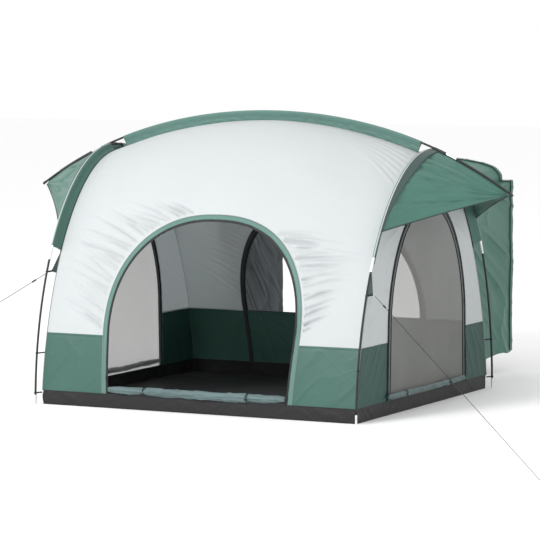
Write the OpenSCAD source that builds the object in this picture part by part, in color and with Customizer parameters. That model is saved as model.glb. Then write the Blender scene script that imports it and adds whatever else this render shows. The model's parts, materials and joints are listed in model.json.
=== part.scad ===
// Screen house: a near-square camping shelter that closes behind a parked vehicle.
// Two side arches run front to back and one ridge pole crosses over them and carries
// an awning beyond each side. The fabric body hangs inside the poles.
// Origin: centre of the floor underside. +Z up, the front door faces -Y.

/* [Poles] */
// Left to right distance between the feet of the two side arches
arch_span_x = 2650; // [2560:10:2740]
// Front to back distance between the feet of one side arch
arch_span_y = 2520; // [2480:10:2600]
// Height of the crown of a side arch
arch_h = 1912; // [1890:1:1940]
// How far the crown of a side arch stands outside its feet
arch_lean = 18; // [10:1:24]
// Height of the ridge pole at mid-span
ridge_h = 2179; // [2170:1:2200]
// Distance between the two ends of the ridge pole
ridge_span = 4000; // [3900:10:4100]
// Height lost between the middle and the ends of the ridge pole
ridge_drop = 595; // [590:1:605]
// Diameter of the fibreglass poles
pole_d = 16; // [11:0.5:17]
// Diameter of the steel ferrules
ferrule_d = 19; // [15:0.5:20]

/* [Body] */
// Width of the fabric body
body_w = 2600; // [2560:10:2610]
// Depth of the fabric body at the ground
body_d = 2400; // [2360:10:2420]
// Height of the body under the ridge
body_h = 2114; // [2110:1:2118]
// Height of the body at the side walls
side_h = 1867; // [1860:1:1870]
// Height of the dark floor band
tub_h = 105; // [90:1:120]
// Height of the seam between the green and the white panels
seam_h = 525; // [500:1:550]
// Thickness given to every fabric panel
wall_t = 3; // [3:0.5:4]

/* [Doors] */
// Widest part of the front and back doors
door_w = 1540; // [1500:10:1560]
// Width of the front and back doors at the sill
door_sill_w = 1480; // [1460:10:1500]
// Height of the top of the front and back doors
door_top = 1393; // [1370:1:1400]
// Width of the trim round the front and back doors
trim_w = 45; // [40:1:50]
// Widest part of the side doors
side_door_w = 1380; // [1340:10:1400]
// Height of the top of the side doors
side_door_top = 1520; // [1500:1:1530]
// How far each side door is set off the middle of its wall
side_door_shift = 50; // [0:5:60]

/* [Awnings and sleeve] */
// Distance of the lower awning corner from the middle of the arch
awning_corner_y = 880; // [860:5:900]
// Distance from the middle of the floor to the open end of the vehicle sleeve
sleeve_reach = 2350; // [2300:10:2400]
// Width of the vehicle sleeve at its open end
sleeve_w = 2090; // [2040:10:2100]
// Height of the vehicle sleeve at its open end
sleeve_h = 1760; // [1740:5:1780]

/* [Guy lines] */
// Diameter of the guy lines
guy_d = 4; // [3:0.5:4]

/* [Hidden] */

// Colours
white = [0.90, 0.92, 0.92];
green = [0.33, 0.55, 0.47];
light_green = [0.47, 0.69, 0.61];
shade_green = [0.29, 0.47, 0.41];
tub_grey = [0.24, 0.24, 0.25];
roll_grey = [0.45, 0.56, 0.55];
mesh_grey = [0.35, 0.36, 0.36];
pole_black = [0.08, 0.08, 0.09];
steel = [0.80, 0.81, 0.82];
black = [0.05, 0.05, 0.06];

// Frame of the side arches
foot_x = arch_span_x / 2;
foot_y = arch_span_y / 2;
crown_x = foot_x + arch_lean;
arch_rise = 0.515;       // height of the first control point, as a share of the arch height
arch_shoulder = 0.571;   // depth of the second control point, as a share of the foot distance
ridge_tip = ridge_span / 2;
ridge_quartic = 1 / 6;   // share of the ridge drop that comes from the quartic term
pole_r = pole_d / 2;
ferrule_r = ferrule_d / 2;
foot_tip_h = 75;
leg_top_z = 1075;
fin_low_z = 1175;

// Body
half_w = body_w / 2;
half_d = body_d / 2;
front_w = half_w - wall_t;
wall_low = tub_h + 1;
panel_gap = 1.5;
lean_in = 85;            // how far the wall leans in at its first control point
belly_z = 0.5088;        // height of the first control point, as a share of the local height
shoulder_y = 0.55;       // depth of the second control point, as a share of the half depth
door_wide_z = 600;
door_power = 2.3;
zip_w = 11;
zip_t = 5;
side_sill_w = 1410;
side_trim_w = 26;
roll_r = 30;
roll_z = 142;

// Fins and awnings
fin_gap = 1;
fin_t = 4;
ridge_fin_end = 1268;
fin_high_t = 0.958;      // where the arch fins stop short of the crown
fin_skew = 0.03;
awning_end_x = 1975;
awning_reach = 0.965;    // the cloth stops this far along the way to the tip
awning_bow = 15;         // inward bow of the free lower edge

// Zip sliders park low on the straight part of each door
slider_l = 14;
slider_w = 10;
slider_t = 4;
slider_gap = 1.2;
pull_l = 34;
front_slider_z = 230;
side_slider_z = 505;

// Guy lines: straight from the corner ring to the knot on the ground
left_patch_z = 985;
right_patch_z = 910;
left_guy_end = [-2520, -2254, 5];
right_guy_end = [3530, -3250, 5];
guy_steps = 20;
tensioner_at = 0.06;     // how far along its line each tensioner is parked
tensioner_l = 36;
tensioner_r = 6;

// ---------- shared functions ----------

function lerp(a, b, s) = a + (b - a) * s;
function unit(v) = v / norm(v);
function bez(p, t) = pow(1 - t, 3) * p[0] + 3 * pow(1 - t, 2) * t * p[1]
    + 3 * (1 - t) * t * t * p[2] + pow(t, 3) * p[3];
function clamp01(v) = max(0, min(1, v));

// Side arch centreline: t runs from the foot to the crown, sx is the side, sy the end
function arch(t, sx, sy) = [
    sx * bez([foot_x, foot_x + 2, crown_x, crown_x], t),
    sy * bez([foot_y, foot_y, foot_y * arch_shoulder, 0], t),
    bez([0, arch_h * arch_rise, arch_h, arch_h], t)];
function arch_t(z, lo = 0, hi = 1, n = 20) = let(m = (lo + hi) / 2)
    n == 0 ? m : arch(m, 1, 1)[2] < z ? arch_t(z, m, hi, n - 1) : arch_t(z, lo, m, n - 1);

// Ridge pole centreline
function ridge_z(x) = let(u = abs(x) / ridge_tip)
    ridge_h - ridge_drop * ((1 - ridge_quartic) * u * u + ridge_quartic * pow(u, 4));
function ridge(x) = [x, 0, ridge_z(x)];

// Body surface: x across, t from the floor band up and over to the ridge, sy the end
function top_z(x) = body_h - (body_h - side_h) * pow(x / half_w, 2);
function wall_z(x, t) = let(h = top_z(x)) bez([wall_low, h * belly_z, h, h], t);
function wall_y(t) = bez([half_d, half_d - lean_in, half_d * shoulder_y, 0], t);
function wall(x, t, sy) = [x, sy * wall_y(t), wall_z(x, t)];
function wall_t_at(x, z, lo = 0, hi = 1, n = 20) = let(m = (lo + hi) / 2)
    n == 0 ? m : wall_z(x, m) < z ? wall_t_at(x, z, m, hi, n - 1) : wall_t_at(x, z, lo, m, n - 1);
function wall_at(x, z, sy) = wall(x, z <= wall_low ? 0 : wall_t_at(x, z), sy);

// Door outlines as [across, up] points, grown outwards by o, from height z_low
function super_arch(a, b, power, angle) = [
    -a * sign(cos(angle)) * pow(abs(cos(angle)), 2 / power), b * pow(abs(sin(angle)), 2 / power)];
function straight_half(w_low, w_high, z, z_high) = lerp(w_low, w_high, (z - tub_h) / (z_high - tub_h)) / 2;
function door_outline(o, z_low, n = 24) = concat(
    [for (z = [z_low, lerp(z_low, door_wide_z, 0.5)])
        [-straight_half(door_sill_w, door_w, z, door_wide_z) - o, z]],
    [for (k = [0 : n]) let(p = super_arch(door_w / 2 + o, door_top - door_wide_z + o, door_power,
        180 * k / n)) [p[0], door_wide_z + p[1]]],
    [for (z = [lerp(z_low, door_wide_z, 0.5), z_low])
        [straight_half(door_sill_w, door_w, z, door_wide_z) + o, z]]);
function side_outline(o, z_low, c, n = 24) = concat(
    [[c - straight_half(side_sill_w, side_door_w, z_low, door_wide_z) - o, z_low]],
    [for (k = [0 : n]) [c - (side_door_w / 2 + o) * cos(180 * k / n),
        door_wide_z + (side_door_top - door_wide_z + o) * sin(180 * k / n)]],
    [[c + straight_half(side_sill_w, side_door_w, z_low, door_wide_z) + o, z_low]]);

// Closed sheet of thickness t on a grid of points. The grid is the face that looks away
// from the cross product of its row and column directions.
function grid_normal(g, i, j) = unit(cross(
    g[min(i + 1, len(g) - 1)][j] - g[max(i - 1, 0)][j],
    g[i][min(j + 1, len(g[0]) - 1)] - g[i][max(j - 1, 0)]));
module sheet(g, t) {
    n = len(g);
    m = len(g[0]);
    outer = [for (row = g, p = row) p];
    inner = [for (i = [0 : n - 1], j = [0 : m - 1]) g[i][j] + t * grid_normal(g, i, j)];
    edge = concat([for (j = [0 : m - 1]) j], [for (i = [1 : n - 1]) i * m + m - 1],
        [for (j = [m - 2 : -1 : 0]) (n - 1) * m + j], [for (i = [n - 2 : -1 : 1]) i * m]);
    k = n * m;
    count = len(edge);
    faces = concat(
        [for (i = [0 : n - 2], j = [0 : m - 2]) each let(a = i * m + j) [
            [a, a + m, a + m + 1], [a, a + m + 1, a + 1],
            [k + a, k + a + m + 1, k + a + m], [k + a, k + a + 1, k + a + m + 1]]],
        [for (e = [0 : count - 1]) each let(a = edge[e], b = edge[(e + 1) % count])
            [[a, b, k + b], [a, k + b, k + a]]]);
    polyhedron(points = concat(outer, inner), convexity = 10,
        faces = [for (f = faces) t > 0 ? f : [f[2], f[1], f[0]]]);
}

// Round tube through a list of points that keeps clear of the direction ref
module tube(path, r, sides, ref) {
    n = len(path);
    rings = [for (i = [0 : n - 1]) let(
        dir = unit(path[min(i + 1, n - 1)] - path[max(i - 1, 0)]),
        u = unit(cross(dir, ref)),
        v = cross(dir, u))
        for (k = [0 : sides - 1]) path[i] + r * (cos(360 * k / sides) * u + sin(360 * k / sides) * v)];
    faces = concat(
        [[for (k = [0 : sides - 1]) k]],
        [[for (k = [sides - 1 : -1 : 0]) (n - 1) * sides + k]],
        [for (i = [0 : n - 2], k = [0 : sides - 1]) each let(
            a = i * sides + k, b = i * sides + (k + 1) % sides)
            [[a, a + sides, b + sides], [a, b + sides, b]]]);
    polyhedron(points = rings, faces = faces, convexity = 10);
}

// Turn +Z to point from p to q and move to p
module along(p, q) {
    d = q - p;
    translate(p)
        rotate([0, acos(d[2] / norm(d)), atan2(d[1], d[0])])
            children();
}
module rod(p, q, r) {
    along(p, q) cylinder(r = r, h = norm(q - p), $fn = 32);
}
module strap(p, q, w, t) {
    along(p, q) translate([-w / 2, -t / 2, 0]) cube([w, t, norm(q - p)]);
}
module clip_ring(t_hoop) {
    rotate_extrude($fn = 32) translate([pole_r + 0.5 + t_hoop, 0]) square([2 * t_hoop, 12], center = true);
}
// Flat panel in a side wall, from [along Y, up Z] points
module side_panel(x, t) {
    translate([x, 0, 0]) rotate([90, 0, 90]) linear_extrude(t) children();
}

// ---------- body ----------

module floor_tub() color(tub_grey) difference() {
    translate([-half_w, -half_d, 0]) cube([body_w, body_d, tub_h]);
    translate([wall_t - half_w, wall_t - half_d, wall_t])
        cube([body_w - 2 * wall_t, body_d - 2 * wall_t, tub_h]);
}

upper_steps = 40;
corner_share = 0.35;
// Outer edge of the upper end wall as [x, t]: up one side, along the ridge, down the other
// It stops just short of the ridge, where the other end wall begins
ridge_t = 0.9992;
function upper_edge(f) = let(low = wall_t_at(front_w, seam_h))
    f <= corner_share ? [-front_w, lerp(low, ridge_t, f / corner_share)]
    : f < 1 - corner_share ? [lerp(-front_w, front_w, (f - corner_share) / (1 - 2 * corner_share)), ridge_t]
    : [front_w, lerp(ridge_t, low, (f - 1 + corner_share) / corner_share)];
module end_wall_upper(sy) {
    inner = door_outline(trim_w + panel_gap, seam_h + 3, upper_steps - 4);
    grid = [for (k = [0 : upper_steps]) let(
        a = [inner[k][0], wall_t_at(inner[k][0], inner[k][1])],
        b = upper_edge(k / upper_steps))
        [for (j = [0 : 7]) let(p = lerp(a, b, j / 7)) wall(p[0], p[1], sy)]];
    sheet(grid, sy * wall_t);
}
module front_wall_upper() color(white) end_wall_upper(-1);
module back_wall_upper() color(white) end_wall_upper(1);

// One green panel of an end wall, between the corner and the door trim
module end_wall_lower(sx, sy) {
    steps = 6;
    grid = [for (i = [0 : steps]) [for (j = [0 : 3]) let(
        z = lerp(wall_low, seam_h, j / 3),
        x_in = straight_half(door_sill_w, door_w, z, door_wide_z) + trim_w + panel_gap)
        wall_at(sx * lerp(x_in, front_w, i / steps), z, sy)]];
    sheet(grid, -sx * sy * wall_t);
}
module front_wall_lower_left() color(green) end_wall_lower(-1, -1);
module front_wall_lower_right() color(green) end_wall_lower(1, -1);
module back_wall_lower() color(green) for (sx = [-1, 1]) end_wall_lower(sx, 1);

// Lower half of the back door, zipped shut below the opening into the sleeve
module back_door_panel() color(green) {
    steps = 10;
    grid = [for (i = [0 : steps]) [for (j = [0 : 3]) let(
        z = lerp(wall_low, seam_h, j / 3),
        w = straight_half(door_sill_w, door_w, z, door_wide_z) - panel_gap)
        wall_at(lerp(-w, w, i / steps), z, 1)]];
    sheet(grid, -wall_t);
}

// Band that follows a door outline between two growths, o_in and o_out
module door_band(o_in, o_out, sy, t) {
    a = door_outline(o_in, wall_low);
    b = door_outline(o_out, wall_low);
    grid = [for (k = [0 : len(a) - 1]) [wall_at(a[k][0], a[k][1], sy), wall_at(b[k][0], b[k][1], sy)]];
    sheet(grid, sy * t);
}
module front_door_trim() color(light_green) door_band(zip_w + 0.5, trim_w, -1, wall_t);
module back_door_trim() color(tub_grey) door_band(zip_w + 0.5, trim_w, 1, wall_t);
module front_zip_track() color(black) door_band(0, zip_w, -1, zip_t);
module back_zip_track() color(black) door_band(0, zip_w, 1, zip_t);

// ---------- side walls ----------

function side_profile(z_low) = let(low = wall_t_at(half_w, z_low), n = 24) concat(
    [for (k = [0 : n]) let(t = lerp(low, 1, k / n)) [-wall_y(t), wall_z(half_w, t)]],
    [for (k = [n - 1 : -1 : 0]) let(t = lerp(low, 1, k / n)) [wall_y(t), wall_z(half_w, t)]]);
module side_upper(sx) {
    c = sx * side_door_shift;
    x = sx > 0 ? front_w : -half_w;
    side_panel(x, wall_t) difference() {
        polygon(side_profile(seam_h));
        polygon(side_outline(side_trim_w, seam_h - 1, c));
    }
}
module side_lower(sx) {
    c = sx * side_door_shift;
    x = sx > 0 ? front_w : -half_w;
    y_low = wall_y(wall_t_at(half_w, seam_h));
    for (sy = [-1, 1]) side_panel(x, wall_t) polygon([
        [sy * half_d, tub_h], [sy * y_low, seam_h],
        [c + sy * (straight_half(side_sill_w, side_door_w, seam_h, door_wide_z) + side_trim_w), seam_h],
        [c + sy * (side_sill_w / 2 + side_trim_w), tub_h]]);
}
module side_mesh(sx) {
    side_panel(sx > 0 ? front_w : -half_w, wall_t)
        polygon(side_outline(0, tub_h, sx * side_door_shift));
}
module side_trim(sx) {
    c = sx * side_door_shift;
    side_panel(sx > 0 ? front_w : -half_w, wall_t) difference() {
        polygon(side_outline(side_trim_w, tub_h, c));
        polygon(side_outline(0, tub_h - 1, c));
    }
}
module left_wall_upper() color(white) side_upper(-1);
module right_wall_upper() color(white) side_upper(1);
module left_wall_lower() color(green) side_lower(-1);
module right_wall_lower() color(green) side_lower(1);
module left_door_mesh() color(mesh_grey) side_mesh(-1);
module right_door_mesh() color(mesh_grey) side_mesh(1);
module left_door_trim() color(tub_grey) side_trim(-1);
module right_door_trim() color(tub_grey) side_trim(1);

// ---------- rolled door flaps and their ties ----------

front_roll_l = door_sill_w - 16;
side_roll_l = side_sill_w - 10;
side_roll_r = 21;
side_roll_x = half_w + side_roll_r + 4;
module front_door_roll() color(roll_grey)
    translate([-front_roll_l / 2, -half_d, roll_z]) rotate([0, 90, 0])
        cylinder(r = roll_r, h = front_roll_l, $fn = 32);
module side_roll(sx) {
    translate([sx * side_roll_x, side_roll_l / 2, roll_z]) rotate([90, 0, 0])
        cylinder(r = side_roll_r, h = side_roll_l, $fn = 32);
}
module left_door_roll() color(roll_grey) side_roll(-1);
module right_door_roll() color(roll_grey) side_roll(1);

tie_h = 10;
tie_t = 2.5;
tie_x = 425;
tie_y = 400;
module tie(r) {
    difference() {
        cylinder(r = r + tie_t, h = tie_h, center = true, $fn = 32);
        cylinder(r = r + 0.3, h = tie_h + 2, center = true, $fn = 32);
    }
}
module roll_ties() color(black) {
    for (x = [-tie_x, tie_x]) translate([x, -half_d, roll_z]) rotate([0, 90, 0]) tie(roll_r);
    for (sx = [-1, 1], y = [-tie_y, tie_y])
        translate([sx * side_roll_x, y, roll_z]) rotate([90, 0, 0]) tie(side_roll_r);
}

// ---------- pole sleeves: fins between the body seams and the poles ----------

function toward(p, q, d) = p + unit(q - p) * d;
module ridge_fin() color(light_green) {
    steps = 28;
    grid = [for (i = [0 : steps]) let(x = lerp(-ridge_fin_end, ridge_fin_end, i / steps)) [
        [x, -fin_t / 2, top_z(x) + fin_gap], [x, -fin_t / 2, ridge_z(x) - pole_r - fin_gap]]];
    sheet(grid, -fin_t);
}
module arch_fin(sx, sy) {
    steps = 16;
    low = arch_t(fin_low_z);
    grid = [for (i = [0 : steps]) let(
        t = lerp(low, fin_high_t, i / steps),
        pole = arch(t, sx, sy),
        seam = wall(sx * half_w, t - fin_skew * (1 - t), sy),
        out = [0.5 * sx, 0, 0])
        [toward(seam, pole, 2 * fin_gap) + out, toward(pole, seam, pole_r + fin_gap)]];
    sheet(grid, -sx * sy * fin_t);
}
module left_front_fin() color(shade_green) arch_fin(-1, -1);
module left_back_fin() color(shade_green) arch_fin(-1, 1);
module right_front_fin() color(shade_green) arch_fin(1, -1);
module right_back_fin() color(shade_green) arch_fin(1, 1);

// ---------- awnings ----------

// The awning hangs under the ridge pole and its inner edge follows the arch pole
function awning_ridge_z(x) = ridge_z(x) - ferrule_r - wall_t - 4.5;
function arch_t_at_y(y, lo = 0, hi = 1, n = 20) = let(m = (lo + hi) / 2)
    n == 0 ? m : -arch(m, 1, -1)[1] > y ? arch_t_at_y(y, m, hi, n - 1) : arch_t_at_y(y, lo, m, n - 1);
module awning(sx) {
    rows = 9;
    cols = 9;
    tip = [awning_end_x, 0, awning_ridge_z(awning_end_x)];
    low = arch_t_at_y(awning_corner_y);
    grid = [for (i = [-rows : rows]) let(
        s = 1 - abs(i) / rows,
        seam = arch(lerp(low, 1, s), 1, i < 0 ? -1 : 1) + [pole_r + 3.5, 0, 0])
        [for (j = [0 : cols]) let(
            r = awning_reach * j / cols,
            x = lerp(seam[0], tip[0], r),
            lift = awning_ridge_z(x) - lerp(arch_h, tip[2], r),
            bow = awning_bow * 4 * r * (1 - r) * pow(1 - s, 2),
            p = lerp(seam, tip, r) + [-bow, 0, lift * pow(s, 3) + bow / 4])
            [sx * p[0], p[1], p[2]]]];
    sheet(grid, -sx * wall_t);
}
module left_awning() color(green) awning(-1);
module right_awning() color(green) awning(1);
// Fabric sleeves that hold the awning ridges on the ridge pole
module awning_pole_sleeves() color(tub_grey)
    for (run = [[-1840, -1743], [-1737, -1643], [-1637, -1560], [1370, 1460]])
        along(ridge(run[0]), ridge(run[1])) difference() {
            cylinder(r = pole_r + 2.4, h = norm(ridge(run[1]) - ridge(run[0])), $fn = 32);
            translate([0, 0, -1])
                cylinder(r = pole_r + 1.2, h = norm(ridge(run[1]) - ridge(run[0])) + 2, $fn = 32);
        }

// ---------- vehicle sleeve ----------

sleeve_power = 2.8;
sleeve_root_w = 1840;
sleeve_root_h = 1660;
sleeve_root_spring = 1260;
sleeve_spring = 1572;   // top of the straight sides at the open end
sleeve_flap = 92;       // how far the sides stand out from the arched top there
sleeve_sag = 30;
// Section as [x, z], s from the right hem up the side, over the arched top and down again
function sleeve_section(s, w, top, spring, hem, flap) = let(
    f = min(s, 1 - s),
    side = s < 0.5 ? 1 : -1)
    f <= 0.3 ? [side * w / 2, lerp(hem, spring, f / 0.3)]
    : f < 1 / 3 ? [side * lerp(w / 2, w / 2 - flap, (f - 0.3) * 30), spring]
    : let(p = super_arch(w / 2 - flap, top - spring, sleeve_power, 180 * (2 - 3 * s))) [p[0], spring + p[1]];
sleeve_hem_l = 45;
module vehicle_sleeve() color(green) {
    steps = 30;
    lengths = 6;
    grid = [for (i = [0 : steps]) let(
        a = sleeve_section(i / steps, sleeve_root_w, sleeve_root_h, sleeve_root_spring, 150, 12),
        b = sleeve_section(i / steps, sleeve_w, sleeve_h, sleeve_spring, 180, sleeve_flap),
        root = wall_at(a[0], a[1], 1) + [0, wall_t + 4, 0],
        mouth = [b[0], sleeve_reach - sleeve_hem_l, b[1]])
        [for (j = [0 : lengths]) let(r = j / lengths)
            lerp(root, mouth, r) + [0, 0, -sleeve_sag * sin(180 * r)]]];
    sheet(grid, -wall_t);
}
// Doubled hem round the open end of the sleeve
module sleeve_hem() color(shade_green) {
    steps = 30;
    grid = [for (i = [0 : steps]) let(
        b = sleeve_section(i / steps, sleeve_w + 4, sleeve_h + 2, sleeve_spring + 2, 180, sleeve_flap))
        [[b[0], sleeve_reach - sleeve_hem_l + 1, b[1]], [b[0], sleeve_reach, b[1]]]];
    sheet(grid, -wall_t - 3);
}

// ---------- poles ----------

// Left between the end of a pole section and the piece that it meets
joint_gap = 0.8;
module leg(sx, sy) {
    steps = 14;
    a = arch_t(foot_tip_h + joint_gap);
    b = arch_t(leg_top_z - joint_gap);
    tube([for (i = [0 : steps]) arch(lerp(a, b, i / steps), sx, sy)], pole_r, 10, [sx, 0, 0]);
}
module arch_pole(sx) {
    steps = 14;
    a = arch_t(fin_low_z + joint_gap);
    path = concat(
        [for (i = [0 : steps]) arch(lerp(a, 1, i / steps), sx, -1)],
        [for (i = [steps - 1 : -1 : 0]) arch(lerp(a, 1, i / steps), sx, 1)]);
    tube(path, pole_r, 10, [sx, 0, 0]);
}
module left_front_leg() color(pole_black) leg(-1, -1);
module left_back_leg() color(pole_black) leg(-1, 1);
module right_front_leg() color(pole_black) leg(1, -1);
module right_back_leg() color(pole_black) leg(1, 1);
module left_arch_pole() color(pole_black) arch_pole(-1);
module right_arch_pole() color(pole_black) arch_pole(1);

ridge_joint_x = 1470;
ridge_ferrule_l = 80;
cap_l = 26;
module ridge_pole() color(pole_black) {
    steps = 32;
    end = ridge_joint_x - joint_gap;
    tube([for (i = [0 : steps]) ridge(lerp(-end, end, i / steps))],
        pole_r, 10, [0, 1, 0]);
}
module ridge_end(sx) {
    steps = 6;
    start = ridge_joint_x + ridge_ferrule_l + joint_gap;
    end = ridge_tip - cap_l - joint_gap;
    tube([for (i = [0 : steps]) ridge(sx * lerp(start, end, i / steps))],
        pole_r, 10, [0, sx, 0]);
}
module ridge_ends() color(pole_black) for (sx = [-1, 1]) ridge_end(sx);
module pole_ferrules() color(steel) {
    for (sx = [-1, 1], sy = [-1, 1])
        rod(arch(arch_t(leg_top_z), sx, sy), arch(arch_t(fin_low_z), sx, sy), ferrule_r);
    for (sx = [-1, 1])
        rod(ridge(sx * ridge_joint_x), ridge(sx * (ridge_joint_x + ridge_ferrule_l)), ferrule_r);
}
module foot_tips() color(steel)
    for (sx = [-1, 1], sy = [-1, 1])
        translate([sx * foot_x, sy * foot_y, 0]) cylinder(r = pole_r, h = foot_tip_h, $fn = 32);
module ridge_caps() color(black)
    for (sx = [-1, 1])
        rod(ridge(sx * (ridge_tip - cap_l)), ridge(sx * ridge_tip), pole_r + 2);

// ---------- ties, clips and straps ----------

// Webbing tie from the end of the ridge fin to each crossing of the poles
module crossing_ties() color(black)
    for (sx = [-1, 1]) {
        strap([sx * (ridge_fin_end + 3), 0, top_z(ridge_fin_end) + 8],
            [sx * (crown_x - pole_r - 2), 0, arch_h - 2], 3, 12);
        translate([sx * crown_x, 0, arch_h]) rotate([90, 0, 0]) clip_ring(1.5);
    }

clip_z = 385;
// Hook on the pole and its webbing strap from the corner seam
module pole_hook(sx, sy, z, seam_z) {
    t = arch_t(z);
    pole = arch(t, sx, sy);
    above = arch(arch_t(z + 20), sx, sy);
    seam = wall_at(sx * half_w, seam_z, sy) + [sx * 1, sy * 2, 0];
    along(pole, above) clip_ring(1.5);
    strap(seam, toward(pole, seam, pole_r + 2), 10, 3);
}
module pole_clips() color(black)
    for (sx = [-1, 1], sy = [-1, 1]) pole_hook(sx, sy, clip_z, clip_z);
module corner_straps() color(black)
    for (sx = [-1, 1], sy = [-1, 1]) {
        foot = arch(arch_t(foot_tip_h + 14), sx, sy);
        along(foot, arch(arch_t(foot_tip_h + 34), sx, sy)) clip_ring(1.5);
        corner = [sx * (half_w + 1), sy * (half_d + 2), foot_tip_h + 14];
        strap(corner, toward(foot, corner, pole_r + 2), 10, 3);
    }

// Three-cornered patch on each front corner seam, with the guy line's ring at its outer corner
// and a webbing tie from the patch to a ring round the pole
patch_reach = 52;
patch_ring_r = 8;
function patch_ring(sx, z) = wall_at(sx * half_w, z, -1) + [sx * patch_reach, -8, 0];
module guy_patch(sx, z) {
    low = wall_at(sx * half_w, z - 12, -1) + [sx * 1.5, -3, 0];
    high = wall_at(sx * half_w, z + 140, -1) + [sx * 1.5, -3, 0];
    ring = patch_ring(sx, z);
    point = ring - [sx * (patch_ring_r + 4), 0, 0];
    sheet([[high, lerp(high, low, 0.5), low], [lerp(high, point, 0.96), lerp(high, point, 0.98), point]], 2);
    translate(ring) rotate([90, 0, 0]) rotate_extrude($fn = 32) translate([patch_ring_r, 0]) circle(r = 2, $fn = 16);
    strap(point - [sx * 12, 2, 0], ring - [sx * (patch_ring_r - 1), 0, 0], 10, 3);
    pole = arch(arch_t(z), sx, -1);
    strap(ring - [sx * 24, 3, 0], toward(pole, ring, pole_r + 2), 10, 3);
    along(pole, arch(arch_t(z + 20), sx, -1)) clip_ring(1.5);
}
module guy_patches() color(shade_green) {
    guy_patch(-1, left_patch_z);
    guy_patch(1, right_patch_z);
}

// ---------- guy lines ----------

// A line starts at the outside of the ring on its patch
function guy_start(sx, z, end) = toward(patch_ring(sx, z), end, patch_ring_r + 4);
left_guy_start = guy_start(-1, left_patch_z, left_guy_end);
right_guy_start = guy_start(1, right_patch_z, right_guy_end);
module guy_line(start, end)
    tube([for (k = [0 : guy_steps]) lerp(start, end, k / guy_steps)], guy_d / 2, 8, [0, 0, 1]);
module left_guy_line() color(black) guy_line(left_guy_start, left_guy_end);
module right_guy_line() color(black) guy_line(right_guy_start, right_guy_end);

// Barrel that slides along the line to set its length
module tensioner(start, end) {
    along(lerp(start, end, tensioner_at), end) difference() {
        cylinder(r = tensioner_r, h = tensioner_l, $fn = 32);
        translate([0, 0, -1]) cylinder(r = guy_d / 2 + 0.6, h = tensioner_l + 2, $fn = 32);
    }
}
module left_guy_tensioner() color(black) tensioner(left_guy_start, left_guy_end);
module right_guy_tensioner() color(black) tensioner(right_guy_start, right_guy_end);

// Knot and peg loop at the ground end of each line
loop_r = 24;
knot_r = 4.5;
knot_l = 18;
module guy_loop(start, end)
    translate([end[0], end[1], 0])
        rotate([0, 0, atan2(end[1] - start[1], end[0] - start[0])]) {
            translate([1.5, 0, knot_r + 0.3]) rotate([0, 90, 0]) cylinder(r = knot_r, h = knot_l, $fn = 32);
            translate([loop_r + knot_l - 1, 0, guy_d / 2 + 0.5])
                rotate_extrude($fn = 48) translate([loop_r, 0]) circle(r = guy_d / 2, $fn = 16);
        }
module guy_loops() color(black) {
    guy_loop(left_guy_start, left_guy_end);
    guy_loop(right_guy_start, right_guy_end);
}

// ---------- zip sliders and their pulls ----------

// Frame of a slider: on the zip, local Z up the track and local Y out of the wall
function zip_point(z) = wall_at(-straight_half(door_sill_w, door_w, z, door_wide_z) - zip_w / 2, z, -1);
function side_zip_point(sx, z) = [sx * half_w,
    sx * side_door_shift + sx * (straight_half(side_sill_w, side_door_w, z, door_wide_z) + side_trim_w / 2), z];

// Slider body that stands clear of the zip, with two ears and a pin for the pull
ear_y = slider_gap + slider_t;
pin_y = ear_y + 3.5;
module slider_body() {
    translate([-slider_w / 2, slider_gap, -slider_l / 2]) cube([slider_w, slider_t, slider_l]);
    for (side = [-1, 1])
        translate([side * (slider_w / 2 - 1) - 1, ear_y - 0.5, -2.5]) cube([2, 6, 5]);
    translate([-slider_w / 2 + 0.5, pin_y, 0]) rotate([0, 90, 0]) cylinder(r = 1, h = slider_w - 1, $fn = 32);
}
// Tab that hangs from the pin by a round eye
module slider_pull() {
    difference() {
        union() {
            translate([-2.5, pin_y, 0]) rotate([0, 90, 0]) cylinder(r = 2.6, h = 5, $fn = 32);
            translate([-2.5, pin_y - 1.2, -pull_l]) cube([5, 2.4, pull_l]);
        }
        translate([-4, pin_y, 0]) rotate([0, 90, 0]) cylinder(r = 1.3, h = 8, $fn = 32);
    }
}
module on_front_zip() {
    p = zip_point(front_slider_z);
    q = zip_point(front_slider_z + 100);
    tilt = atan2(q[1] - p[1], q[2] - p[2]);
    lean = atan2(q[0] - p[0], q[2] - p[2]);
    translate(p) rotate([-tilt, lean, 0]) rotate([0, 0, 180]) children();
}
module on_side_zip(sx) {
    p = side_zip_point(sx, side_slider_z);
    q = side_zip_point(sx, side_slider_z - 100);
    translate(p) rotate([atan2(q[1] - p[1], 100), 0, 0]) rotate([0, 0, -90 * sx]) children();
}
module front_zip_slider() color(black) on_front_zip() slider_body();
module front_zip_pull() color(black) on_front_zip() slider_pull();
module left_zip_slider() color(black) on_side_zip(-1) slider_body();
module left_zip_pull() color(black) on_side_zip(-1) slider_pull();
module right_zip_slider() color(black) on_side_zip(1) slider_body();
module right_zip_pull() color(black) on_side_zip(1) slider_pull();

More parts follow.
